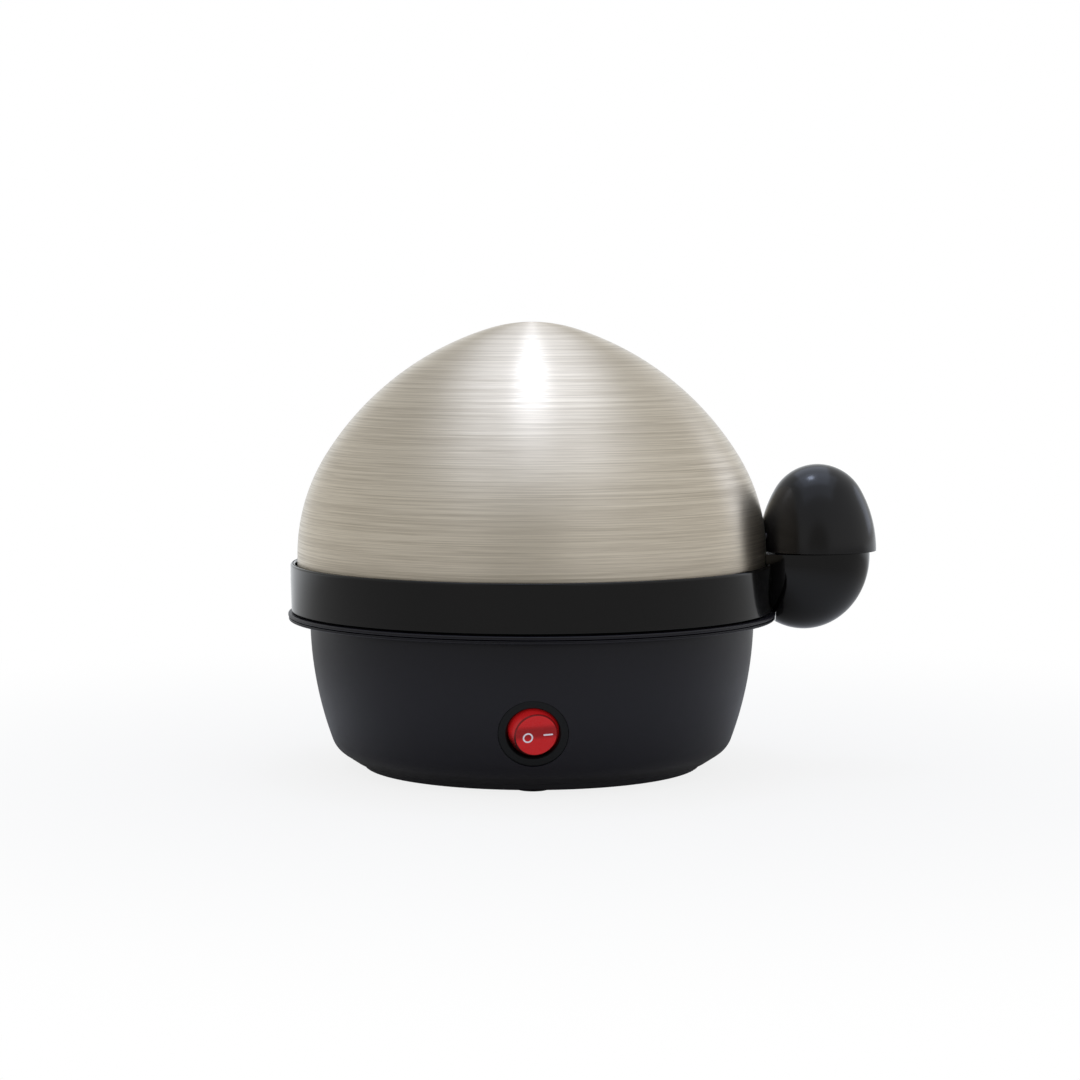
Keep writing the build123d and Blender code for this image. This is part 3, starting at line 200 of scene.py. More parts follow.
class Shade:
    """A socket of a material's nodes. Arithmetic on it adds Math nodes, and add() any other."""

    def __init__(self, tree, socket=None):
        self.tree = tree
        self.socket = socket

    def add(self, kind, settings=None, sockets=None, output=0):
        """A node of a type, with its settings made first and then its sockets' values or links."""
        made = self.tree.nodes.new(kind)
        for name, value in (settings or {}).items():
            setattr(made, name, value)
        for name, value in (sockets or {}).items():
            if isinstance(value, Shade):
                self.tree.links.new(value.socket, made.inputs[name])
            else:
                made.inputs[name].default_value = value
        return Shade(self.tree, made.outputs[output]) if len(made.outputs) else None

    def math(self, operation, first, second=0.0):
        return self.add("ShaderNodeMath", {"operation": operation}, {0: first, 1: second})

    def __add__(self, other):
        return self.math("ADD", self, other)

    def __sub__(self, other):
        return self.math("SUBTRACT", self, other)

    def __rsub__(self, other):
        return self.math("SUBTRACT", other, self)

    def __mul__(self, other):
        return self.math("MULTIPLY", self, other)

    def __truediv__(self, other):
        return self.math("DIVIDE", self, other)

    def __rtruediv__(self, other):
        return self.math("DIVIDE", other, self)

    __radd__ = __add__
    __rmul__ = __mul__

    def clamped(self):
        """The value kept between 0 and 1."""
        return self.math("MINIMUM", self.math("MAXIMUM", self, 0.0), 1.0)

    def spread(self, low, high, low_to=0.0, high_to=1.0):
        """The value moved from one span to another and held at its ends."""
        return self.add(
            "ShaderNodeMapRange",
            {"interpolation_type": "SMOOTHSTEP"},
            {"Value": self, "From Min": low, "From Max": high, "To Min": low_to, "To Max": high_to},
        )

    def vector(self, operation, other=(0, 0, 0), output="Vector"):
        """Vector Math on this place and another. Its plain numbers come from output "Value"."""
        return self.add(
            "ShaderNodeVectorMath", {"operation": operation}, {0: self, 1: other}, output
        )

    def scaled(self, x, y, z):
        """A place, stretched by a factor along each axis."""
        return self.vector("MULTIPLY", (x, y, z))

    def along(self, direction):
        """How far a place lies along a direction."""
        return self.vector("DOT_PRODUCT", direction, "Value")

    def part(self, axis):
        """The "X", "Y" or "Z" of a place."""
        return self.add("ShaderNodeSeparateXYZ", {}, {0: self}, axis)

    def grain(self, scale, detail=3.0, rough=0.5):
        """Soft noise over a place, with this many patches to the metre."""
        return self.add(
            "ShaderNodeTexNoise",
            {},
            {"Vector": self, "Scale": scale, "Detail": detail, "Roughness": rough},
        )

    def tint(self, dark, light):
        """Colour between two by this value, each a colour or a socket."""
        low, high = (tone if isinstance(tone, Shade) else (*tone, 1.0) for tone in (dark, light))
        colours = {0: self, 6: low, 7: high}
        return self.add("ShaderNodeMix", {"data_type": "RGBA"}, colours, output=2)

    def relief(self, share, distance):
        """Surface direction of this height, a share of a distance in metres."""
        sockets = {"Height": self, "Strength": share, "Distance": distance}
        return self.add("ShaderNodeBump", {}, sockets)

    def surface(self, sockets):
        """The one shader of a material, joined to its output."""
        shader = self.add("ShaderNodeBsdfPrincipled", {}, sockets)
        self.add("ShaderNodeOutputMaterial", {}, {"Surface": shader})


def finish(name):
    """An empty material, the start of its shader, and the place on the piece in metres at rest."""
    material = bpy.data.materials.new(name)
    material.use_nodes = True
    material.node_tree.nodes.clear()
    shade = Shade(material.node_tree)
    return material, shade, shade.add("ShaderNodeTexCoord", output="Object")


satin_black, shade, place = finish("satin_black")
spark = place.grain(2600.0, 2.0)
cloud = place.grain(28.0, 3.0)
mottle = cloud * 0.6 + spark * 0.4
shade.surface(
    {
        "Base Color": mottle.tint((0.0015, 0.0012, 0.0042), (0.0033, 0.0028, 0.0076)),
        "Roughness": cloud.spread(0.3, 0.7, 0.36, 0.42) + spark * 0.03,
        "Specular IOR Level": 0.37,
        "Normal": spark.relief(0.12, 0.0001),
    }
)

rim_top = deck_height - deck_rim - rim_groove
rim_bottom = rim_top - housing_rim
rim_radius = flange_radius - rim_setback
side_centre = (housing_top_radius - side_curve, rim_top)
corner_centre = on_arc(side_centre, side_curve - corner_curve, -side_turn)
low_turn = side_turn + corner_turn


def bowl_side(inset, bottom, steps=26):
    """The wall's outline from a height at the bottom to just under the rim, moved in by inset."""
    corner = arc(corner_centre, corner_curve - inset, -low_turn, -side_turn, 12)
    side = arc(side_centre, side_curve - inset, -side_turn, 0, steps)
    run = (corner[0][1] - bottom) * tan(radians(low_turn))
    return [(corner[0][0] - run, bottom)] + corner + side[1:]


wall_outside = [spot for spot in bowl_side(0.0, housing_bottom) if spot[1] < rim_bottom - rim_root]
wall_inside = bowl_side(housing_wall, housing_bottom + housing_wall)
rim_edge = rounded(
    [
        (housing_top_radius, rim_bottom, under_rim_round),
        (rim_radius, rim_bottom, small_round),
        (rim_radius, rim_top, over_rim_round),
        (housing_top_radius - housing_wall, rim_top, 0),
    ]
)
floor_edge = [(access_radius, housing_bottom + housing_wall), (access_radius, housing_bottom)]
bowl = wall_outside + rim_edge + wall_inside[::-1] + floor_edge
housing = turned("housing", bowl, satin_black)

switch_joint = next(joint for joint in frame["joints"] if joint["name"] == "power_rocker")
pivot = Vector(switch_joint["pos_m"])
switch_up = Vector(switch_joint["axis"]).normalized()
switch_right = Vector((1, 0, 0))
switch_out = switch_right.cross(switch_up)
turn_to_switch = Matrix((switch_right, switch_up, switch_out)).transposed().to_4x4()
pivot_depth = 1.6
switch_place = Matrix.Translation(pivot + switch_out * pivot_depth * mm) @ turn_to_switch
bezel_radius = 11.5
barrel_radius = 9.9
slip = 0.3

# The pocket is moved up by nearly its gap, so that the bezel lies close to its lower edge.
pocket_gap = 0.1
pocket_lift = Matrix.Translation((0, (pocket_gap - 0.01) * mm, 0))
pocket_reach = 8.0
hole_overlap = 1.0
plug_steps = 96


def plug(radius, bottom, top, place):
    """Plain cylinder that serves as a cutting tool."""
    outline = [(0, bottom), (radius, bottom), (radius, top), (0, top)]
    return turned("plug", outline, None, place, plug_steps)


gland_low, gland_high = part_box("cord_gland")
gland_face = 70.0
gland_height = (gland_low.z + gland_high.z) / 2 / mm
gland_spot = Matrix.Translation((axis_x * mm, gland_face * mm, gland_height * mm))
gland_place = gland_spot @ Matrix.Rotation(-pi / 2, 4, "X")
gland_flange_radius = 7.5
gland_neck_radius = 5.1
cut(
    housing,
    plug(bezel_radius + pocket_gap, 0, pocket_reach, switch_place @ pocket_lift),
    plug(barrel_radius + slip, -pocket_reach, hole_overlap, switch_place),
    plug(gland_flange_radius + slip, 0, pocket_reach, gland_place),
    plug(gland_neck_radius + slip, -pocket_reach, hole_overlap, gland_place),
)
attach(housing, "base")
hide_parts("base_housing")

# ---- Deck
# The ring on top of the bowl is the same satin black plastic. It closes the bowl and carries the
# heating plate inside a low dam. Its rim lies on the bowl's rim with a fine groove between the
# two, and hooks below hold it.
dam_radius = 72.4
dam_wall = 2.2
dam_height = 2.4
deck_thickness = 2.6
deck_bottom = deck_height - deck_thickness
deck_hole = 62.0
spigot_slip = 0.4
spigot_radius = housing_top_radius - housing_wall - spigot_slip
rim_low_round = 0.35
rim_high_round = 0.45
deck = turned(
    "deck",
    rounded(
        [
            (deck_hole, deck_bottom, 0),
            (spigot_radius, deck_bottom, small_round),
            (spigot_radius, deck_height - deck_rim, 0),
            (flange_radius, deck_height - deck_rim, rim_low_round),
            (flange_radius, deck_height, rim_high_round),
            (dam_radius, deck_height, small_round),
            (dam_radius, deck_height + dam_height, small_round),
            (dam_radius - dam_wall, deck_height + dam_height, small_round),
            (dam_radius - dam_wall, deck_height, 0),
            (deck_hole, deck_height, 0),
        ]
    ),
    satin_black,
)
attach(deck, "base")
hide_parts("base_deck")

# ---- Bottom cover, feet and fasteners
# A moulded plate closes the bowl from below with screws, stands on four rubber pads, and has slots
# that let warm air out. The screws are bright zinc-plated steel.


def dress(material, *names):
    """Gives CAD pieces a material."""
    for name in names:
        for slot in node[name].material_slots:
            slot.material = material


def plain_finish(name, dark, light, rough, patches, more=None):
    """A finish whose colour and roughness drift a little over the piece, under a fine relief."""
    material, shade, place = finish(name)
    cloud = place.grain(patches, 4.0)
    sockets = {
        "Base Color": cloud.tint(dark, light),
        "Roughness": cloud.spread(0.3, 0.7, rough - 0.04, rough + 0.05),
        "Normal": place.grain(patches * 12, 2.0).relief(0.08, 0.0001),
    }
    sockets.update(more or {})
    shade.surface(sockets)
    return material


metal = {"Metallic": 1.0}
foot_rubber = plain_finish("foot_rubber", (0.012, 0.012, 0.012), (0.03, 0.03, 0.03), 0.75, 120.0)
zinc_dark, zinc_light = (0.42, 0.42, 0.44), (0.62, 0.62, 0.64)
zinc_plate = plain_finish("zinc_plate", zinc_dark, zinc_light, 0.28, 400.0, metal)
dress(satin_black, "bottom_cover")
dress(foot_rubber, "rubber_feet")
dress(
    zinc_plate, "cover_screws", "plate_studs", "clamp_ring", "clamp_nuts", "thermostat_bracket",
    "thermostat_screws", "earth_rivet", "terminal_screws", "block_screw", "plunger_spring",
)

# ---- Cord gland
# A soft black rubber bush that snaps into the back wall with its neck. Its bore is where the mains
# cord would come out.
soft_black = plain_finish("soft_black", (0.008, 0.008, 0.008), (0.016, 0.016, 0.017), 0.55, 90.0)
dress(soft_black, "cord_gland")

# ---- Heating plate and what is under it
# The shallow dish is pressed stainless steel, brushed in rings, and sits on a silicone gasket. The
# heater, its controls and the wiring hang below it and in the bowl.


def about_axis(place):
    """The place from the body's axis, the same laid flat, and the distance out from the axis."""
    from_axis = place.vector("SUBTRACT", (axis_x * mm, 0, 0))
    flat = from_axis.scaled(1, 1, 0)
    return from_axis, flat, flat.vector("LENGTH", output="Value")


plate_steel, shade, place = finish("plate_steel")
from_axis, flat, out_from_axis = about_axis(place)
lines = shade.add(
    "ShaderNodeTexNoise",
    {"noise_dimensions": "1D"},
    {"W": out_from_axis, "Scale": 2400.0, "Detail": 2.0},
)
stain = from_axis.grain(38.0, 5.0, 0.62)
shade.surface(
    {
        "Base Color": (stain * 0.6 + lines * 0.4).tint((0.44, 0.42, 0.39), (0.66, 0.65, 0.62)),
        "Metallic": 1.0,
        "Roughness": lines.spread(0.3, 0.7, 0.26, 0.36) + stain * 0.08,
        "Normal": lines.relief(0.12, 0.0001),
    }
)
dress(plate_steel, "heating_plate")

# Each row is a finish's name, its dark and light colour, roughness, patches to the metre and other
# sockets, and the pieces that have it.
rubbery = {"Specular IOR Level": 0.4}
parts_below = [
    ("silicone", (0.42, 0.42, 0.4), (0.55, 0.55, 0.52), 0.5, 80.0, rubbery,
     ["plate_gasket", "lid_handle_washers"]),
    ("spreader_metal", (0.6, 0.6, 0.61), (0.75, 0.75, 0.76), 0.38, 150.0, metal,
     ["heat_spreader", "thermal_fuse"]),
    ("heater_sheath", (0.3, 0.28, 0.26), (0.46, 0.44, 0.42), 0.42, 200.0, metal,
     ["heating_element"]),
    ("bead_ceramic", (0.7, 0.67, 0.6), (0.82, 0.79, 0.73), 0.6, 300.0, {},
     ["element_insulators"]),
    ("brass", (0.56, 0.42, 0.17), (0.72, 0.56, 0.27), 0.3, 350.0, metal,
     ["element_terminals", "earth_tab", "switch_terminals", "contact_lever", "plunger"]),
    ("brown_phenolic", (0.06, 0.03, 0.02), (0.1, 0.05, 0.035), 0.4, 200.0, {},
     ["thermostat"]),
    ("nylon", (0.6, 0.6, 0.55), (0.72, 0.72, 0.67), 0.45, 150.0, {},
     ["terminal_block"]),
    ("brown_sleeve", (0.09, 0.035, 0.015), (0.14, 0.06, 0.03), 0.5, 120.0, {},
     ["live_wire", "switched_wire"]),
    ("blue_sleeve", (0.02, 0.07, 0.3), (0.04, 0.12, 0.42), 0.5, 120.0, {},
     ["lamp_wire", "neutral_wire"]),
    ("green_sleeve", (0.12, 0.3, 0.03), (0.3, 0.42, 0.04), 0.5, 120.0, {},
     ["earth_wire"]),
]
for name, dark, light, rough, patches, more, pieces in parts_below:
    dress(plain_finish(name, dark, light, rough, patches, more), *pieces)

# ---- Switch body
# A round snap-in switch of black nylon. Its bezel lies in the pocket of the wall, and its barrel
# goes through the wall and holds the rocker.
bezel_thickness = 1.6
bezel_round = 0.15
opening_radius = 8.6
opening_round = 0.2
opening_chamfer = (0.5, 0.6)
barrel_depth = 13.0
barrel_round = 0.3
cavity_depth = 9.6
switch_steps = 128
bezel_black, shade, place = finish("bezel_black")
speck = place.grain(3400.0, 2.0)
haze = place.grain(160.0, 3.0)
shade.surface(
    {
        "Base Color": haze.tint((0.0012, 0.0018, 0.0022), (0.0030, 0.0040, 0.0046)),
        "Roughness": haze.spread(0.3, 0.7, 0.36, 0.43),
        "Specular IOR Level": 0.27,
        "Normal": speck.relief(0.1, 0.0001),
    }
)
switch_body = turned(
    "switch_body_shell",
    rounded(
        [
            (0, -barrel_depth, 0),
            (barrel_radius, -barrel_depth, barrel_round),
            (barrel_radius, 0, 0),
            (bezel_radius, 0, 0),
            (bezel_radius, bezel_thickness, bezel_round),
            (opening_radius + opening_chamfer[0], bezel_thickness, opening_round),
            (opening_radius, bezel_thickness - opening_chamfer[1], opening_round),
            (opening_radius, -cavity_depth, 0),
            (0, -cavity_depth, 0),
        ]
    ),
    bezel_black,
    switch_place,
    switch_steps,
)
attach(switch_body, "base")
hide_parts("switch_body")

lamp_glass, shade, place = finish("lamp_glass")
warm = place.grain(300.0)
shade.surface(
    {
        "Base Color": warm.tint((0.9, 0.55, 0.35), (1.0, 0.75, 0.55)),
        "Roughness": warm.spread(0.3, 0.7, 0.04, 0.1),
        "Transmission Weight": 0.8,
    }
)
dress(lamp_glass, "neon_lamp")

# ---- Rocker
# The rocker is a translucent red acrylic cap with a ball-shaped side, on two pins that snap into
# the barrel. It is tipped with its right side in, which is ON. The neon lamp's light behind it is a
# painted glow, a weak emission of the cap.
rocker_gap = 0.25
face_radius = 6.85
skirt = 2.0
cap_wall = 1.3
rocker_tilt = 12.0
ball_radius = opening_radius - rocker_gap
face_height = sqrt(ball_radius**2 - face_radius**2)
rocker_turn = Matrix.Rotation(radians(rocker_tilt), 4, "Y")
rocker_place = Matrix.Translation(pivot) @ turn_to_switch @ rocker_turn
rocker_right, rocker_up, rocker_out = (
    (rocker_place.to_3x3() @ Vector(way)).normalized() for way in ((1, 0, 0), (0, 1, 0), (0, 0, 1))
)

# The face has a darker band above its middle and a fine dark edge. The ball-shaped side has a
# slightly darker tone, plus painted shade towards its low left, where it tucks into the bezel, and
# these marks also dim the cap's painted glow.
band_middle = 1.1 * mm
band_half = 2.0 * mm
red_lens, shade, place = finish("red_lens")
from_pivot = place.vector("SUBTRACT", pivot)
up_way = from_pivot.along(rocker_up)
right_way = from_pivot.along(rocker_right)
out_way = from_pivot.along(rocker_out)
band_way = (up_way - band_middle) / band_half
band = 1 - band_way.math("ABSOLUTE", band_way).spread(0.45, 1.5)
grit = from_pivot.grain(5200.0, 2.0)
on_face = out_way.spread((face_height - 0.16) * mm, (face_height - 0.07) * mm)
at_edge = out_way.spread((face_height - 0.8) * mm, (face_height - 0.5) * mm)
edge_line = at_edge * (1 - on_face)
# Painted shade: the ball-shaped side darkens towards its low left, where the bezel shades it.
low_left_shade = (up_way + right_way * 0.35).spread(-6.5 * mm, -1.0 * mm, 1.0, 0.0)
side_tone_and_shade = (1 - on_face) * (low_left_shade * 0.9 + 0.08)
depth = (band * 0.42 + grit * 0.14 * band) * on_face + side_tone_and_shade + edge_line * 0.7
shade.surface(
    {
        "Base Color": depth.clamped().tint((0.54, 0.015, 0.018), (0.04, 0.001, 0.001)),
        "Roughness": grit.spread(0.3, 0.7, 0.2, 0.3),
        "Specular IOR Level": 0.3,
        # Painted glow: the cap's emission stands in for the neon lamp's light through it, dimmed
        # where the colour is darker.
        "Emission Color": depth.clamped().tint((1.0, 0.012, 0.014), (0.05, 0.001, 0.001)),
        "Emission Strength": 0.1,
        "Normal": grit.relief(0.05, 0.0001),
    }
)
edge_turn = 2.5
edge_insets = ((0.02, 0.1), (0.16, 0.02), (0.4, 0), (0.7, 0))
side_low = degrees(asin(skirt / ball_radius))
side_high = degrees(atan2(face_height, face_radius))
ball_side = arc((0, 0), ball_radius, -side_low, side_high - edge_turn, 14)
face_edge = [(face_radius - inward, face_height - down) for inward, down in edge_insets]
inner_ball = ball_radius - cap_wall
hollow_top = face_height - cap_wall
hollow_radius = sqrt(inner_ball**2 - hollow_top**2)
hollow_high = degrees(atan2(hollow_top, hollow_radius))
hollow_low = -degrees(asin(skirt / inner_ball))
hollow_side = arc((0, 0), inner_ball, hollow_high, hollow_low, 10)
rocker = turned(
    "rocker_cap",
    ball_side + face_edge + [(0, face_height), (0, hollow_top)] + hollow_side,
    red_lens,
    rocker_place,
    switch_steps,
)
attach(rocker, "rocker")
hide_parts("rocker")

# ---- Rocker marks
# The ring for OFF and the bar for ON are generic marks, printed on the face in white ink. The
# print stands a hair above the face and reaches as far into it.
ring_radius = 1.72
line_width = 0.52
bar_length = 3.2
ring_place = 2.8
ring_drop = 0.6
bar_place = 3.95
ink_thickness = 0.1
ink_round = 0.06
ink_steps = 96
white_ink = plain_finish("white_ink", (0.84, 0.8, 0.88), (0.96, 0.92, 1.0), 0.4, 2500.0)
ring_spot = rocker_place @ Matrix.Translation(Vector((-ring_place, -ring_drop, face_height)) * mm)
ring_mark = turned(
    "ring_mark",
    rounded(
        [
            (ring_radius - line_width, -ink_thickness, 0),
            (ring_radius, -ink_thickness, 0),
            (ring_radius, ink_thickness, ink_round),
            (ring_radius - line_width, ink_thickness, ink_round),
        ],
        steps=3,
        beside=0.05,
    ),
    white_ink,
    ring_spot,
    ink_steps,
)


def bar(name, length, width, bottom, top, place, material, steps=8):
    """Flat bar with rounded ends, along the x way of its place."""
    half, reach = width / 2, length / 2 - width / 2
    rim = arc((reach, 0), half, -90, 90, steps) + arc((-reach, 0), half, 90, 270, steps)
    vertices = [place @ (Vector((x, y, z)) * mm) for z in (bottom, top) for x, y in rim]
    count = len(rim)
    faces = [tuple(range(count))[::-1], tuple(range(count, 2 * count))]
    faces += [(k, (k + 1) % count, (k + 1) % count + count, k + count) for k in range(count)]
    return piece(name, vertices, faces, material)


bar_spot = rocker_place @ Matrix.Translation(Vector((bar_place, 0, face_height)) * mm)
bar_mark = bar(
    "bar_mark", bar_length, line_width, -ink_thickness, ink_thickness, bar_spot, white_ink
)
for mark in (ring_mark, bar_mark):
    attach(mark, "rocker")
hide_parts("rocker_marks")

# ---- Steam collar
# A polished black ring that stands on the deck. A ledge inside its top carries the lid, and its
# floor carries the egg rack. It is moulded in one piece.
collar_top = 72.1
collar_top_radius = 84.1
collar_foot_radius = 83.8
upright_band = 5.7
collar_wall = 1.6
collar_floor = deck_height + 2.0
collar_bore = dam_radius + 0.8
relief_radius = 80.0
collar_foot = deck_height + 0.5
ledge_height = 66.0
ledge_edge = collar_top_radius - collar_wall - 3.0
ledge_bottom = ledge_height - 1.8
ledge_slope = 1.0
inner_top = collar_top_radius - collar_wall
inner_foot = collar_foot_radius - collar_wall
lip_round = 0.7
floor_round = 0.5
polished_black, shade, place = finish("polished_black")
wave = place.grain(34.0, 2.0)
dust = place.grain(900.0, 3.0, 0.6)
shade.surface(
    {
        "Base Color": wave.tint((0.0010, 0.0009, 0.0009), (0.0030, 0.0026, 0.0025)),
        "Roughness": wave.spread(0.3, 0.7, 0.07, 0.12) + dust.spread(0.55, 0.8) * 0.05,
        "Specular IOR Level": 0.34,
        "Normal": wave.relief(0.35, 0.0004),
    }
)
collar = turned(
    "collar_ring",
    rounded(
        [
            (collar_bore, deck_height, small_round),
            (relief_radius, deck_height, 0),
            (relief_radius, collar_foot, 0),
            (collar_foot_radius, collar_foot, small_round),
            (collar_top_radius, collar_top - upright_band, 0),
            (collar_top_radius, collar_top, lip_round),
            (inner_top, collar_top, lip_round),
            (inner_top, ledge_height, 0),
            (ledge_edge, ledge_height, small_round),
            (ledge_edge, ledge_bottom, 0),
            (inner_foot, ledge_bottom - ledge_slope, 0),
            (inner_foot, collar_floor, floor_round),
            (collar_bore, collar_floor, small_round),
        ]
    ),
    polished_black,
)
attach(collar, "collar")
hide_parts("steam_collar")

# ---- Egg rack
# The lift-out tray is moulded in satin black plastic, with seven lipped seats, steam holes and two
# upright grips. It stands loose on the collar's floor.
dress(satin_black, "egg_rack")

# ---- Lid dome
# The lid is spun from stainless steel sheet and brushed round its axis while it turns, so fine
# lines circle it and a fan of light runs down from its top. Its hem is folded inwards.
lid_radius = 81.7
lid_sheet = 0.7
spring_height = 74.8
lid_side_curve = 65.45
lid_side_turn = 32.0
shoulder_curve = 103.2
shoulder_turn = 40.35
hem_height = 2.0
hem_wall = 1.4
hem_round = 0.35
above_hem = 1.2
below_spring = 0.6
dome_steps = 288


def lid_outline(inset, steps=30):
    """The dome's outline from its upright skirt to its top, moved in by inset."""
    side_middle = (lid_radius - lid_side_curve, spring_height)
    join = on_arc(side_middle, lid_side_curve, lid_side_turn)
    shoulder_middle = on_arc(join, -shoulder_curve, lid_side_turn)
    nose_start = lid_side_turn + shoulder_turn
    shoulder_end = on_arc(shoulder_middle, shoulder_curve, nose_start)
    nose_curve = shoulder_end[0] / cos(radians(nose_start))
    nose_middle = (0, shoulder_end[1] - nose_curve * sin(radians(nose_start)))
    side = arc(side_middle, lid_side_curve - inset, 0, lid_side_turn, steps)
    shoulder = arc(shoulder_middle, shoulder_curve - inset, lid_side_turn, nose_start, steps)
    nose = arc(nose_middle, nose_curve - inset, nose_start, 90, steps // 2)
    return side + shoulder[1:] + nose[1:-1] + [(0, nose[-1][1])]


# The lines are noise over the flat place and the way down the side, squeezed along that way.
brushed_lid, shade, place = finish("brushed_lid")
from_axis, flat, out_from_axis = about_axis(place)
down_the_side = out_from_axis - from_axis.part("Z")
wrapped = flat.vector("ADD", shade.add("ShaderNodeCombineXYZ", {}, {"Z": down_the_side}))
hairs = wrapped.scaled(1, 1, 110).grain(14.0, 4.0, 0.8)
threads = wrapped.scaled(1, 1, 50).grain(9.0, 3.0, 0.6)
patches = wrapped.scaled(1, 1, 8).grain(9.0, 3.0, 0.5)
scratches = hairs.spread(0.60, 0.72)
tone = (hairs * 0.78 + threads * 0.14 + patches * 0.08).spread(0.32, 0.68)
bright = (tone - scratches * 0.4).clamped()
shade.surface(
    {
        "Base Color": bright.tint((0.57, 0.502, 0.40), (0.855, 0.773, 0.64)),
        "Metallic": 1.0,
        "Roughness": tone.spread(0.0, 1.0, 0.43, 0.37),
        "Anisotropic": 0.82,
        "Anisotropic Rotation": 0.25,
        "Normal": (hairs * 0.7 + threads * 0.3).relief(0.10, 0.0001),
    }
)
hem_inside = lid_radius - hem_wall
hem_top = ledge_height + hem_height
skirt_edge = [
    (hem_inside, ledge_height),
    (lid_radius - hem_round, ledge_height),
    (lid_radius, ledge_height + hem_round),
    (lid_radius, ledge_height + above_hem),
    (lid_radius, spring_height - below_spring),
]
hem_fold = [(lid_radius - lid_sheet, hem_top), (hem_inside, hem_top)]
dome = turned(
    "dome",
    skirt_edge + lid_outline(0) + lid_outline(lid_sheet)[::-1] + hem_fold,
    brushed_lid,
    body_place,
    dome_steps,
)
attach(dome, "lid")
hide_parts("lid_dome")

# ---- Half-egg handles
# Each handle is half of an egg in black plastic, hollow, with a saddle against the round body. The
# upper one is screwed to the dome from inside, and the lower one to the collar, under a flat cap.
handle_axis = 99.8
handle_radius = 20.5
handle_bottom = 76.0
handle_side_curve = 43.0
handle_side_turn = 30.0
handle_wall = 2.0
saddle_wall = 2.6
parting = 0.4
joint_gap = 0.05
below_bottom = 4.0
handle_steps = 160
hollow_steps = 128
handle_place = Matrix.Translation(((axis_x + handle_axis) * mm, 0, 0))

handle_black, shade, place = finish("handle_black")
wave = place.grain(26.0, 2.0)
speck = place.grain(2400.0, 2.0)
shade.surface(
    {
        "Base Color": wave.tint((0.0010, 0.0008, 0.0012), (0.0026, 0.0022, 0.0030)),
        "Roughness": wave.spread(0.3, 0.7, 0.18, 0.22),
        "Specular IOR Level": 0.38,
        "Normal": speck.relief(0.05, 0.0001),
    }
)


def egg_top(inset, bottom, steps=20):
    """Closed outline of the upper half egg about its own axis, moved in by inset."""
    side_middle = (handle_radius - handle_side_curve, handle_bottom)
    joint = on_arc(side_middle, handle_side_curve, handle_side_turn)
    nose_curve = joint[0] / cos(radians(handle_side_turn))
    nose_middle = (0, joint[1] - nose_curve * sin(radians(handle_side_turn)))
    side = arc(side_middle, handle_side_curve - inset, 0, handle_side_turn, steps)
    nose = arc(nose_middle, nose_curve - inset, handle_side_turn, 90, steps)
    lip = [(side[0][0], bottom)] if bottom < handle_bottom else []
    return [(0, bottom)] + lip + side + nose[1:-1] + [(0, nose[-1][1])]


def lid_form(gap, bottom):
    """Solid as large as the dome and a gap, as a cutting tool."""
    outline = [(0, bottom), (lid_radius + gap, bottom)] + lid_outline(-gap)
    return turned("lid_form", outline, None, body_place, dome_steps)


upper_inside = egg_top(handle_wall, handle_bottom - below_bottom)
upper_hollow = cut(
    turned("upper_hollow", upper_inside, None, handle_place, hollow_steps),
    lid_form(slip + saddle_wall, ledge_height),
)
upper_handle = cut(
    turned("upper_handle", egg_top(0, handle_bottom), handle_black, handle_place, handle_steps),
    lid_form(joint_gap, ledge_height),
    upper_hollow,
)
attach(upper_handle, "lid")
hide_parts("lid_handle")

lower_axis = 95.1
lower_middle = 74.2
lower_radii = (23.0, 19.0, 25.8)
lower_top = handle_bottom - parting
cap_thickness = 1.8
cap_step = 0.9
above_cap = 1.0
lid_room = 0.25
rim_room = 0.12
above_handle = 120.0


def egg_bottom(name, inset, top, material=None, steps=handle_steps, level_count=40):
    """The lower half egg as a closed solid, moved in by inset and cut off level at a height."""
    wide, deep, tall = (radius - inset for radius in lower_radii)
    middle = Vector((axis_x + lower_axis, 0, lower_middle))
    stop = asin((top - lower_middle) / tall)
    levels = [-pi / 2 + (stop + pi / 2) * i / level_count for i in range(level_count + 1)]
    vertices = []
    for i in range(steps):
        around = 2 * pi * i / steps
        for level in levels:
            x = wide * cos(level) * cos(around)
            y = deep * cos(level) * sin(around)
            vertices.append((Vector((x, y, tall * sin(level))) + middle) * mm)
        vertices.append(Vector((axis_x + lower_axis, 0, top)) * mm)
    count = len(levels) + 1
    faces = []
    for i in range(steps):
        here, after = i * count, (i + 1) % steps * count
        faces += [(here + k, after + k, after + k + 1, here + k + 1) for k in range(count - 1)]
    return piece(name, vertices, faces, material)


def body_form(gap, at_collar, at_lid):
    """Solid as large as the deck's rim, the collar and the lid with a gap at each, as a cutting
    tool."""
    step = deck_height + gap
    lip = collar_top + at_collar
    outline = [
        (0, 0),
        (flange_radius + gap, 0),
        (flange_radius + gap, step),
        (collar_foot_radius + at_collar, step),
        (collar_top_radius + at_collar, collar_top - upright_band),
        (collar_top_radius + at_collar, lip),
        (lid_radius + at_lid, lip),
        (lid_radius + at_lid, above_handle),
        (0, above_handle),
    ]
    return turned("body_form", outline)


def inner_form(gap):
    """The body's solid with one gap all the way up, for the handle's inside."""
    return body_form(gap, gap, gap + collar_top_radius - lid_radius)


def cap_form(name, steps=96):
    """The flat cap's oval, as the space for it in the handle."""
    wide, deep = (radius - handle_wall + cap_step for radius in lower_radii[:2])
    rim = []
    for i in range(steps):
        around = 2 * pi * i / steps
        rim.append((axis_x + lower_axis + wide * cos(around), deep * sin(around)))
    heights = (lower_top - cap_thickness, lower_top + above_cap)
    vertices = [Vector((x, y, z)) * mm for z in heights for x, y in rim]
    faces = [tuple(range(steps))[::-1], tuple(range(steps, 2 * steps))]
    faces += [(k, (k + 1) % steps, (k + 1) % steps + steps, k + steps) for k in range(steps)]
    return cut(piece(name, vertices, faces, None), inner_form(slip + saddle_wall - cap_step))


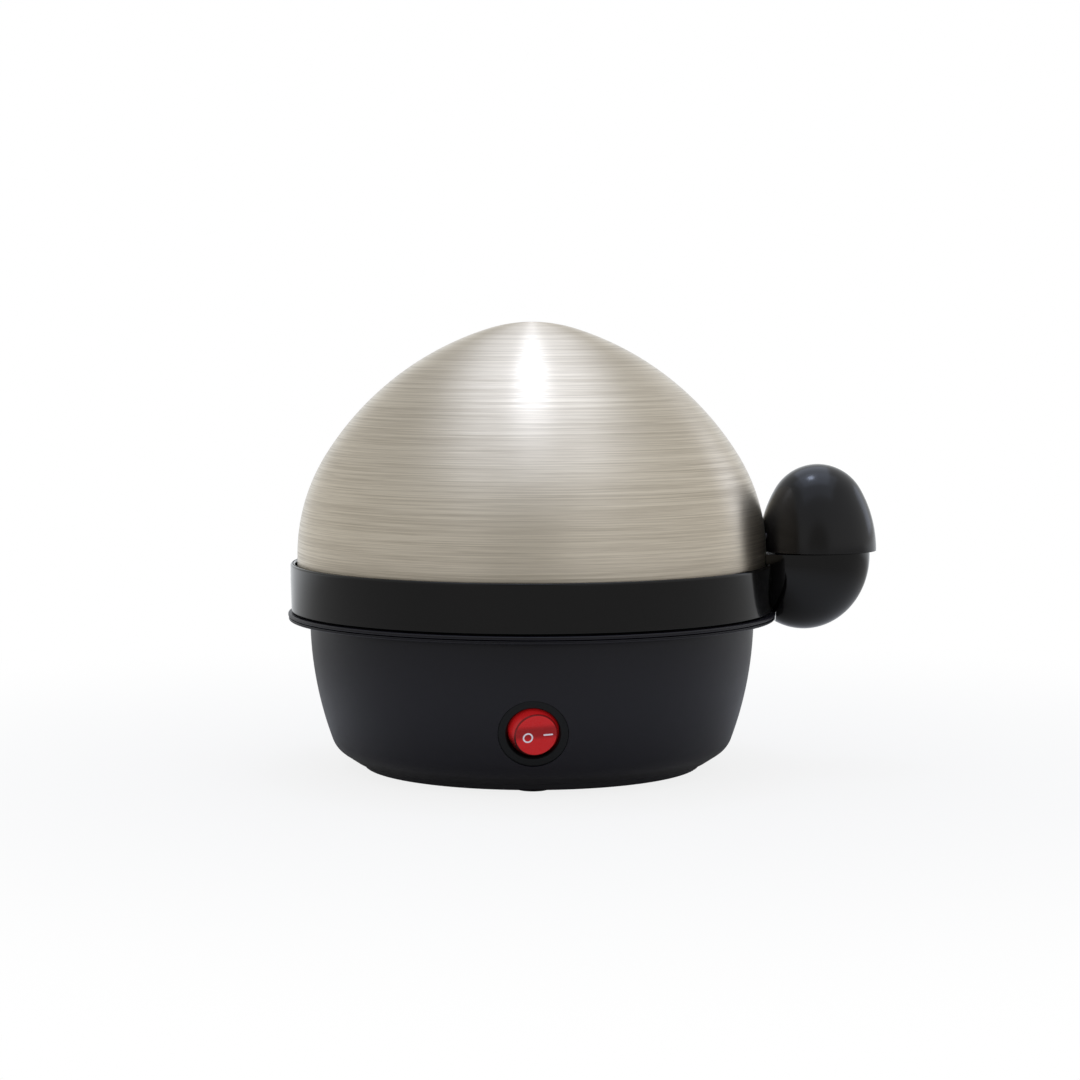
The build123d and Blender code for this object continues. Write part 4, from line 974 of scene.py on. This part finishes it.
lower_hollow = egg_bottom("lower_hollow", handle_wall, lower_top)
lower_hollow = cut(lower_hollow, inner_form(slip + saddle_wall))
lower_handle = cut(
    egg_bottom("lower_handle", 0, lower_top, polished_black),
    body_form(rim_room, joint_gap, lid_room),
    lower_hollow,
    cap_form("cap_space"),
)
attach(lower_handle, "collar")
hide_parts("collar_handle")
dress(satin_black, "collar_handle_cap")
dark_oxide, light_oxide = (0.008, 0.008, 0.008), (0.016, 0.016, 0.016)
black_steel = plain_finish("black_steel", dark_oxide, light_oxide, 0.5, 400.0, {"Metallic": 0.6})
dress(black_steel, "collar_handle_screws", "lid_handle_screws")

# ---- Table and studio
# The table is a plain pale sheet that runs out to white. A small key lamp hangs over the lid with
# two wide ones above it, a weak one stands behind on the right, and the room fills the rest. The
# camera sees that room white, and a gloss sees it grey with a white wall straight behind.
table_reach = 6.0
table_pale, shade, place = finish("table_pale")
away = place.vector("LENGTH", output="Value")


def seen_shares(shade):
    """Two shares of a ray: 1 for the camera's own, and 1 also for one in a gloss or through glass.
    Both are 0 for soft light."""
    camera, gloss, through = (
        shade.add("ShaderNodeLightPath", output=name)
        for name in ("Is Camera Ray", "Is Glossy Ray", "Is Transmission Ray")
    )
    return camera, (camera + gloss + through).clamped()


to_camera, to_eye = seen_shares(shade)
in_gloss = to_eye - to_camera
sheet_share = to_camera * away.spread(0.10, 0.4, 0.84, 1.0) + in_gloss * away.spread(0.09, 0.35)
sheet = shade.add("ShaderNodeBsdfDiffuse", {}, {"Color": (0.65, 0.65, 0.65, 1.0)})
at_back = place.part("Y").spread(0.15, 0.7)
far_in_gloss = at_back.tint((0.44, 0.44, 0.44), (0.94, 0.97, 1.0))
far = to_camera.tint(far_in_gloss, (1.0, 1.0, 1.0))
white = shade.add("ShaderNodeEmission", {}, {"Color": far, "Strength": 1.0})
mixed = shade.add("ShaderNodeMixShader", {}, {0: sheet_share, 1: sheet, 2: white})
shade.add("ShaderNodeOutputMaterial", {}, {"Surface": mixed})
signs = ((-1, -1), (1, -1), (1, 1), (-1, 1))
corners = [(x * table_reach, y * table_reach, 0) for x, y in signs]
table = piece("table", corners, [(0, 1, 2, 3)], table_pale)

world = bpy.data.worlds.new("white_room")
bpy.context.scene.world = world
world.use_nodes = True
world.node_tree.nodes.clear()
shade = Shade(world.node_tree)
to_camera, to_eye = seen_shares(shade)
room_light = 0.72
way = shade.add("ShaderNodeTexCoord", output="Generated")
to_right = way.part("X").spread(-0.3, 0.9)
to_back = way.part("Y").spread(0.8, 0.99)
to_front = way.along((-0.06, -0.995, 0.08)).spread(0.9, 0.985)
upward = way.part("Z").spread(0.15, 0.6)
low_wall = to_right.tint((0.58, 0.58, 0.57), (0.68, 0.68, 0.68))
high_wall = to_right.tint((0.54, 0.55, 0.56), (0.66, 0.67, 0.68))
walls = upward.tint(low_wall, high_wall)
walls = to_front.tint(walls, (0.34, 0.335, 0.31))
walls = to_back.tint(walls, (0.94, 0.97, 1.0))
room = (to_eye - to_camera).tint((1.0, 1.0, 1.0), walls)
strength = to_eye * (1 - room_light) + room_light
back = shade.add("ShaderNodeBackground", {}, {"Color": room, "Strength": strength})
shade.add("ShaderNodeOutputWorld", {}, {"Surface": back})
cool_white = (0.86, 0.98, 1.28)


def soft_lamp(name, place, aim, width, tall, watts):
    """Rectangular soft lamp, with its place, aim and size in metres, that no camera sees."""
    lamp = bpy.data.lights.new(name, "AREA")
    lamp.shape = "RECTANGLE"
    lamp.size, lamp.size_y = width, tall
    lamp.energy = watts
    lamp.color = cool_white
    holder = bpy.data.objects.new(name, lamp)
    bpy.context.scene.collection.objects.link(holder)
    holder.location = place
    holder.rotation_euler = (Vector(aim) - Vector(place)).to_track_quat("-Z", "Y").to_euler()
    holder.visible_camera = False


lamp_x = axis_x * mm
soft_lamp("key_lamp", (lamp_x, 0.06, 0.62), (lamp_x, 0.06, 0), 0.08, 0.08, 0.21)
soft_lamp("top_lamp", (lamp_x, 0.6, 1.2), (lamp_x, 0.6, 0), 1.0, 1.8, 3.4)
soft_lamp("wide_lamp", (lamp_x, -0.25, 1.25), (lamp_x, -0.25, 0), 1.6, 1.4, 2.6)
soft_lamp("right_lamp", (1.1, 0.8, 0.4), (lamp_x, 0, 0.08), 0.5, 0.5, 0.45)

camera = bpy.data.cameras.new("camera")
camera.sensor_width = 36.0
camera.lens = 93.27
camera_stand = bpy.data.objects.new("camera", camera)
bpy.context.scene.collection.objects.link(camera_stand)
camera_stand.location = (-0.02334, -0.975, 0.1557)
camera_pitch = 4.47
camera_turn = -0.5
camera_stand.rotation_euler = (radians(90 - camera_pitch), 0, radians(camera_turn))
bpy.context.scene.camera = camera_stand
bpy.context.scene.view_settings.view_transform = "Standard"
